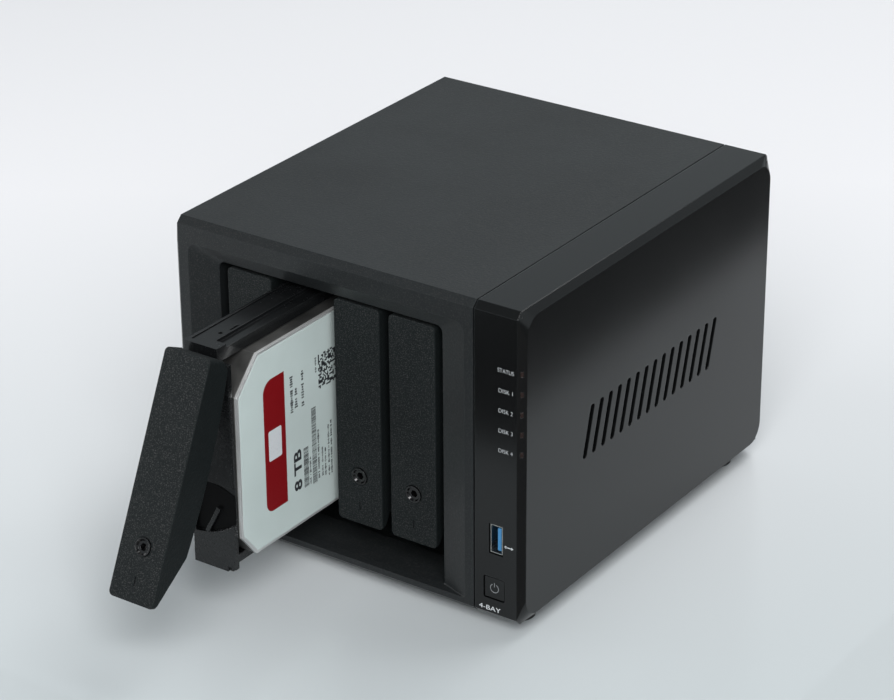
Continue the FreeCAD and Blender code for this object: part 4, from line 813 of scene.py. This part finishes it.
# ---------------------------------------------------------------- back
@dataclass
class Back:
    """Rear panel, fans and ports."""

    kit: Kit
    socket_w: float = 16.2 * MM
    nodes: tuple[str, ...] = ("rear_panel", "fan_frames", "fan_rotor_left", "fan_rotor_right", "fan_screws",
                              "rear_screws", "lan_ports", "rear_usb_port", "esata_port", "power_jack",
                              "reset_button", "tact_switches")

    def build(self) -> None:
        """Dresses the panel and adds contacts, print and hub labels."""
        self.kit.finishes.dress(self.nodes)
        self.network_contacts()
        self.network_lights()
        self.hub_labels()
        self.panel_print()

    def network_contacts(self) -> None:
        """Eight sprung contacts in each network socket."""
        low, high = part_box("lan_ports")
        width, pitch = self.socket_w, 1.02 * MM
        points = []
        for left in (low.x, high.x - width):
            start = (left + width / 2 - 3.57 * MM, high.y - 8.0 * MM, high.z - 3.0 * MM)
            points += row(start, (pitch, 0, 0), 8)
        self.kit.bars("network_contacts", points, "contact_gold", "case", "port_steel",
                      (0.45 * MM, 9.0 * MM, 0.35 * MM), tilt=math.radians(-14))

    def network_lights(self) -> None:
        """Two small lenses in the upper corners of each network socket."""
        low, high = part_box("lan_ports")
        width, inset = self.socket_w, 2.2 * MM
        points = []
        for left in (low.x, high.x - width):
            points += row((left + inset, high.y - 0.12 * MM, high.z - 0.8 * MM), (width - 2 * inset, 0, 0), 2)
        self.kit.bars("network_lights", points, "light_clear", "case", "light_clear",
                      (2.2 * MM, 0.5 * MM, 1.0 * MM))

    def hub_labels(self) -> None:
        """Plain round labels on the fan motors' seats."""
        for side, rotor in (("left", "fan_rotor_left"), ("right", "fan_rotor_right")):
            low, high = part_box(rotor)
            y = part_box("fan_frames")[1].y - 0.17 * MM
            rim = [(0, 0), (9.8 * MM, 0), (10.0 * MM, 0.04 * MM), (9.8 * MM, 0.08 * MM), (0, 0.08 * MM)]
            work = turned(rim, 40)
            mesh = bpy.data.meshes.new("hub_label")
            work.to_mesh(mesh)
            work.free()
            mesh.transform(Facing.BACK.at(((low.x + high.x) / 2, y, (low.z + high.z) / 2)))
            self.kit.add(f"fan_hub_label_{side}", mesh, "label_print", "case", smooth=True)

    def panel_print(self) -> None:
        """Plain names over the network sockets, the inlet and the reset hole."""
        low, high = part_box("lan_ports")
        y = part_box("rear_panel")[1].y
        thick = (-0.03 * MM, 0.03 * MM)
        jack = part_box("power_jack")
        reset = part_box("reset_button")
        draw = Drawing()
        width = self.socket_w
        for text, left in (("LAN 1", low.x), ("LAN 2", high.x - width)):
            draw.words(text, -left - width + 4.0 * MM, high.z + 1.6 * MM, 8.2 * MM, 1.9 * MM, *thick)
        draw.words("DC IN", -jack[1].x + 1.6 * MM, jack[1].z + 1.6 * MM, 8.6 * MM, 1.9 * MM, *thick)
        middle = (reset[0].x + reset[1].x) / 2
        draw.words("RESET", -middle - 4.2 * MM, reset[1].z + 2.0 * MM, 8.4 * MM, 1.7 * MM, *thick)
        self.kit.add("panel_print", draw.mesh("panel_print", Facing.BACK.at((0, y, 0))), "ink_white", "case")


# ---------------------------------------------------------------- inside
@dataclass
class Inside:
    """Drive cage, boards and what stands on them."""

    kit: Kit
    bays: int = 4
    nodes: tuple[str, ...] = ("cage_left_wall", "cage_right_wall", "upper_guide", "lower_guide",
                              "backplane_board", "drive_sockets", "main_board", "heat_sink", "memory_sockets",
                              "memory_modules")

    def build(self) -> None:
        """Dresses the inner parts and adds the boards' small parts."""
        self.kit.finishes.dress(self.nodes)
        self.memory_edges()
        self.board_parts()

    def memory_edges(self) -> None:
        """Gold edge contacts on the memory modules."""
        low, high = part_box("memory_modules")
        points = []
        for z in (low.z, high.z - 2.2 * MM):
            points += row((low.x + 0.9 * MM, low.y + 2.0 * MM, z + 1.21 * MM), (0, 1.0 * MM, 0), 64)
        self.kit.bars("memory_edges", points, "contact_gold", "case", "port_steel",
                      (1.8 * MM, 0.55 * MM, 0.04 * MM))

    def board_parts(self) -> None:
        """Small square parts scattered on the main board and up the backplane."""
        chance = random.Random(9)
        low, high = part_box("main_board")
        top = high.z + 0.4 * MM
        points = [Vector((chance.uniform(low.x + 12 * MM, low.x + 34 * MM),
                          chance.uniform(low.y + 10 * MM, high.y - 40 * MM), top)) for _ in range(90)]
        self.kit.bars("main_board_parts", points, "connector_plastic", "case", "connector_plastic",
                      (0.8 * MM, 0.8 * MM, 1.0 * MM), (5.0 * MM, 4.0 * MM, 1.0 * MM), seed=4)
        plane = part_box("backplane_board")[0]
        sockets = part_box("drive_sockets")
        pitch = (sockets[1].x - sockets[0].x - 4.6 * MM) / (self.bays - 1)
        points = []
        for bay in range(self.bays):
            left = sockets[0].x + pitch * bay
            start = (left + 2.3 * MM, plane.y - 0.35 * MM, sockets[1].z + 1.5 * MM)
            points += row(start, (0, 0, 1.4 * MM), 3)
        self.kit.bars("backplane_parts", points, "connector_plastic", "case", "connector_plastic",
                      (1.2 * MM, 0.9 * MM, 0.8 * MM), (2.6 * MM, 0.9 * MM, 0.8 * MM), seed=5)


# ---------------------------------------------------------------- trays
@dataclass
class Tray:
    """One tray with its handle, lock and drive."""

    kit: Kit
    number: int
    grip_ribs: int = 14
    pocket_up: float = 16.5 * MM
    pocket_h: float = 28.0 * MM
    pocket_end: float = 24.0 * MM
    pocket_depth: float = 2.0 * MM
    ramp_r: float = 42.0 * MM
    length: float = 150.0 * MM

    @property
    def body(self) -> str:
        """The tray's body, which also begins its parts' names."""
        return f"tray_{self.number}"

    def build(self) -> None:
        """Dresses the tray's parts and adds its fine ones."""
        parts = [f"{self.body}_{part}" for part in ("frame", "panels", "handle", "pin", "lock")]
        self.kit.finishes.dress(parts + [f"drive_{self.number}_base", f"drive_{self.number}_lid"])
        self.grip()
        self.pocket_shade_plate()

    def pocket_shade_plate(self) -> None:
        """Dark glossy plate at the back of the latch pocket, over its concave ramp: painted shade that
        darkens the pocket's recess.
        """
        low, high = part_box(f"{self.body}_frame")
        x0, z0 = low.x, low.z + self.pocket_up
        x1, depth = x0 + self.pocket_end, self.pocket_depth
        reach, middle = self.ramp_r - 0.3 * MM, (x0 - 1.5 * MM, z0 + self.ramp_r)
        left = x0 + 1.45 * MM
        steps = [i / 12 for i in range(13)]
        foot = [(x, middle[1] - math.sqrt(reach ** 2 - (x - middle[0]) ** 2))
                for x in (left + (x1 - left) * i for i in steps)]
        top = z0 + self.pocket_h - 0.2 * MM
        crown = [(x1 - (x1 - left) * i, top - 4.5 * MM * (1 - i) ** 2) for i in steps]
        # painted shade: a thin dark plate just behind the pocket's front, so the recess reads dark
        mesh = Drawing().slab(foot + crown, -depth + 0.02 * MM, -depth + 0.3 * MM).mesh(
            "shade_plate", Facing.FRONT.at((0, high.y - self.length, 0)))
        self.kit.add(f"{self.body}_pocket_liner", mesh, "pocket_painted_shade", self.body, "tray_plastic")

    def grip(self) -> None:
        """Fine ribs at the rear end of the fastening panel, where it is pushed."""
        low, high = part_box(f"{self.body}_panels")
        rib = ((high.x - low.x) - 2.4 * MM, 0.7 * MM, 0.6 * MM)
        start = ((low.x + high.x) / 2 - 0.4 * MM, high.y - 22 * MM, high.z - 0.05 * MM)
        points = row(start, (0, 1.4 * MM, 0), self.grip_ribs)
        self.kit.bars(f"{self.body}_grip", points, "tray_plastic", self.body, "tray_plastic", rib)


@dataclass
class DriveLabel:
    """Printing on the open drive's label.

    Each patch is (nearest, farthest, lowest, highest), in millimetres from the label's front lower corner.
    """

    kit: Kit
    number: int = 2
    print_t: float = 0.03 * MM
    band: Patch = (17.4, 33.2, 15.4, 83.2)
    patch: Patch = (20.4, 30.0, 41.5, 57.0)
    title: Patch = (38.6, 44.4, 17.3, 38.5)
    bars: tuple[Patch, ...] = ((46.1, 49.8, 16.6, 38.2), (52.7, 56.2, 15.5, 56.2))
    headings: tuple[Patch, ...] = (
        (37.2, 39.6, 59.8, 79.7), (40.4, 43.0, 60.0, 74.5), (45.4, 48.1, 60.0, 79.6))
    lines: tuple[Patch, ...] = (
        (50.4, 51.8, 16.6, 31.6), (57.0, 58.2, 17.0, 43.0), (59.8, 61.2, 16.4, 32.6),
        (62.2, 63.4, 16.2, 31.7), (64.8, 66.2, 15.0, 42.4), (67.0, 68.2, 15.5, 44.1),
        (56.4, 57.8, 73.0, 81.2))
    square: Patch = (59.0, 76.0, 63.0, 80.8)
    cells: int = 21

    def build(self) -> None:
        """Dresses the label and prints it."""
        node = f"drive_{self.number}_label"
        self.kit.finishes.dress([node])
        low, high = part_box(node)
        self.body = f"tray_{self.number}"
        self.corner = Vector((high.x, low.y, low.z))
        self.colour_band()
        self.capacity()
        self.bar_codes()
        self.small_print()
        self.code_square()

    def lid_at(self) -> Matrix:
        """Places drawings whose X is up the label and Y towards its front."""
        return Facing.LID.at(self.corner)

    def colour_band(self) -> None:
        """Red band with rounded front corners, and a pale blank patch on it."""
        u0, u1, v0, v1 = (v * MM for v in self.band)
        outline = rounded_box(v0, v1, -u1, -u0, [0, 0, 6.5 * MM, 5.0 * MM], 10)
        mesh = Drawing().slab(outline, -self.print_t, self.print_t).mesh("band", self.lid_at())
        self.kit.add("label_band", mesh, "ink_red", self.body)
        u0, u1, v0, v1 = (v * MM for v in self.patch)
        outline = rounded_box(v0, v1, -u1, -u0, [0.9 * MM] * 4, 5)
        mesh = Drawing().slab(outline, 0, self.print_t * 1.8).mesh("patch", self.lid_at())
        self.kit.add("label_patch", mesh, "ink_white", self.body)

    def capacity(self) -> None:
        """Plain capacity, read up the label."""
        u0, u1, v0, v1 = (v * MM for v in self.title)
        draw = Drawing().words("8 TB", v0, -u1, v1 - v0, u1 - u0, -self.print_t, self.print_t, 0.03)
        self.kit.add("label_capacity", draw.mesh("capacity", self.lid_at()), "ink_black", self.body)

    def bar_codes(self) -> None:
        """Rows of bars of uneven width that stand for no number."""
        for order, (u0, u1, v0, v1) in enumerate(self.bars):
            pitch = 0.62
            points = row(self.corner + Vector((0, (u0 + u1) / 2 * MM, v0 * MM)), (0, 0, pitch * MM),
                         int((v1 - v0) / pitch))
            wide, thick = (u1 - u0) * MM, 2 * self.print_t
            self.kit.bars(f"label_bars_{order + 1}", points, "ink_black", self.body, "label_print",
                          (thick, wide, 0.12 * MM), (thick, wide, 0.5 * MM), seed=21 + order)

    def small_print(self) -> None:
        """Lines of short strokes in place of headings and small print."""
        thick = 2 * self.print_t
        kinds = (("label_headings", self.headings, 30), ("label_small_print", self.lines, 31))
        for name, lines, seed in kinds:
            points = []
            tall = lines[0][1] - lines[0][0]
            for u0, u1, v0, v1 in lines:
                step = (u1 - u0) * 0.5
                points += row(self.corner + Vector((0, (u0 + u1) / 2 * MM, v0 * MM)), (0, 0, step * MM),
                              int((v1 - v0) / step))
            self.kit.bars(name, points, "ink_black", self.body, "label_print",
                          (thick, tall * 0.35 * MM, tall * 0.22 * MM), (thick, tall * MM, tall * 0.42 * MM),
                          share=0.85, seed=seed)

    def code_square(self) -> None:
        """Square of random dots that stands for no code."""
        u0, u1, v0, v1 = self.square
        cell = (v1 - v0) / self.cells
        points = []
        for line in range(int((u1 - u0) / cell)):
            points += row(self.corner + Vector((0, (u0 + cell * (line + 0.5)) * MM, (v0 + cell / 2) * MM)),
                          (0, 0, cell * MM), self.cells)
        self.kit.bars("label_square", points, "ink_black", self.body, "label_print",
                      (2 * self.print_t, cell * MM, cell * MM), share=0.52, seed=41)


# ---------------------------------------------------------------- studio
@dataclass(frozen=True)
class SoftLight:
    """A soft box.

    Args:
        name: its name.
        place: where it stands.
        size: width and height.
        watts: its power.
        aim: the point that it faces.
    """

    name: str
    place: tuple[float, float, float]
    size: tuple[float, float]
    watts: float
    aim: tuple[float, float, float] = (0.0, 0.0, 0.08)

    def build(self) -> None:
        """Puts the light in the scene."""
        lamp = bpy.data.lights.new(self.name, "AREA")
        lamp.shape = "RECTANGLE"
        lamp.size, lamp.size_y = self.size
        lamp.energy = self.watts
        holder = put(self.name, lamp)
        holder.location = self.place
        holder.rotation_mode = "QUATERNION"
        holder.rotation_quaternion = (Vector(self.aim) - Vector(self.place)).to_track_quat("-Z", "Y")


@dataclass
class Studio:
    """Pale floor, soft light and the camera."""

    azimuth: float = 34.908
    elevation: float = 26.068
    roll: float = -0.418
    distance: float = 1.72776
    aim: tuple[float, float, float] = (-0.13796, 0.17005, -0.02973)
    lens: float = 120.72
    floor_half: float = 8.0
    # painted light: the span over which the floor's colour runs from its shaded near tone to its lit far tone
    sheet_light_fade: tuple[float, float] = (-0.17, 0.42)
    sheet_shaded_near: Colour = (0.53, 0.57, 0.585)
    sheet_lit_far: Colour = (0.85, 0.84, 0.86)
    dark_from: float = 0.23
    dark_near: Point = (0.105, -0.118)
    dark_front: Point = (-0.15, -0.265)
    sky: tuple[float, float] = (0.74, 0.16)
    sky_tint: tuple[float, float, float, float] = (0.87, 0.96, 1.0, 1.0)
    lights: tuple[SoftLight, ...] = (
        SoftLight("key", (1.0, -1.4, 1.4), (1.3, 1.3), 44.0),
        SoftLight("left", (-1.25, -0.6, 0.3), (0.5, 0.8), 8.0),
        SoftLight("back", (0.1, 1.3, 2.1), (2.0, 1.0), 32.0, (-0.4, 0.9, 0.0)),
    )

    def build(self) -> None:
        """Makes the floor, the light and the camera."""
        self.camera()
        self.floor()
        self.dark_table()
        self.surroundings()
        for light in self.lights:
            light.build()
        bpy.context.scene.view_settings.view_transform = "Standard"

    def camera(self) -> None:
        """Sets the camera round the box."""
        a, e, r = (math.radians(v) for v in (self.azimuth, self.elevation, self.roll))
        back = Vector((math.sin(a) * math.cos(e), -math.cos(a) * math.cos(e), math.sin(e)))
        right = Vector((math.cos(a), math.sin(a), 0))
        up = back.cross(right)
        side = right * math.cos(r) + up * math.sin(r)
        head = up * math.cos(r) - right * math.sin(r)
        data = bpy.data.cameras.new("camera")
        data.lens, data.sensor_width = self.lens, 36.0
        data.clip_start, data.clip_end = 0.05, 50.0
        camera = put("camera", data)
        camera.matrix_world = (Matrix.Translation(Vector(self.aim) + back * self.distance)
                               @ Matrix((side, head, back)).transposed().to_4x4())
        bpy.context.scene.camera = camera

    def floor(self) -> None:
        """A smooth sheet that mirrors a little, with painted light: paler towards its far side and darker
        near the camera, in place of the light falling off towards the front.
        """
        s = Surface("floor_sheet")
        cloud = s.noise(0.9, 2.0)
        turn = math.radians(self.azimuth)
        away = s.add("ShaderNodeVectorMath", {0: s.place, 1: (-math.sin(turn), math.cos(turn), 0.0)},
                     operation="DOT_PRODUCT").outputs["Value"]
        depth = s.maths("ADD", away, s.maths("MULTIPLY", cloud, 0.06))
        # painted light: darker near the camera and paler far away, standing in for the light's falloff
        s.set(Base_Color=s.blend(s.span(depth, *self.sheet_light_fade), self.sheet_shaded_near, self.sheet_lit_far))
        s.set(Roughness=s.span(cloud, 0.3, 0.7, 0.16, 0.22), Specular_IOR_Level=0.5)
        mesh = square(self.floor_half, -0.02, -0.0002).mesh("floor", Matrix.Identity(4))
        mesh.materials.append(s.material)
        put("floor", mesh)

    def dark_table(self) -> None:
        """Dark plate on the floor, right and in front, seen only in gloss: the box's and the floor's."""
        s = Surface("dark_table")
        s.set(Base_Color=s.blend(s.span(s.noise(0.2)), (0.01, 0.01, 0.01), (0.014, 0.013, 0.012)))
        near, front, left = self.dark_near, self.dark_front, self.dark_from
        forward, far = -2.0, 4.0
        outline = [(front[0], forward), (far, forward), (far, far), (left, far), (left, near[1]), near,
                   (near[0], front[1]), front]
        mesh = Drawing().slab(outline, 0.0, 0.0004).mesh("dark_table", Matrix.Identity(4))
        mesh.materials.append(s.material)
        table = put("dark_table", mesh)
        table.visible_camera = False
        table.visible_diffuse = False
        table.visible_shadow = False

    def surroundings(self) -> None:
        """Soft light from all round, stronger from low down than from overhead."""
        world = bpy.data.worlds.new("studio")
        world.use_nodes = True
        g = Graph(world.node_tree)
        g.tree.nodes.clear()
        facing = g.add("ShaderNodeTexCoord").outputs["Generated"]
        height = g.add("ShaderNodeSeparateXYZ", {"Vector": facing}).outputs["Z"]
        strength = g.add("ShaderNodeMapRange", {"Value": height, "From Min": 0.0, "From Max": 0.8,
                                                "To Min": self.sky[0], "To Max": self.sky[1]},
                         clamp=True).outputs["Result"]
        light = g.add("ShaderNodeBackground", {"Color": self.sky_tint, "Strength": strength})
        out = g.add("ShaderNodeOutputWorld")
        g.feed(out.inputs["Surface"], light.outputs["Background"])
        bpy.context.scene.world = world


def main() -> None:
    """Builds the whole scene in order."""
    logging.basicConfig(level=logging.INFO, format="%(message)s", stream=sys.stdout)
    Studio().build()
    kit = Kit(Finishes(), Repeater())
    Case(kit).build()
    Back(kit).build()
    Inside(kit).build()
    for number in range(1, 5):
        Tray(kit, number).build()
    DriveLabel(kit).build()


if __name__ == "__main__":
    main()
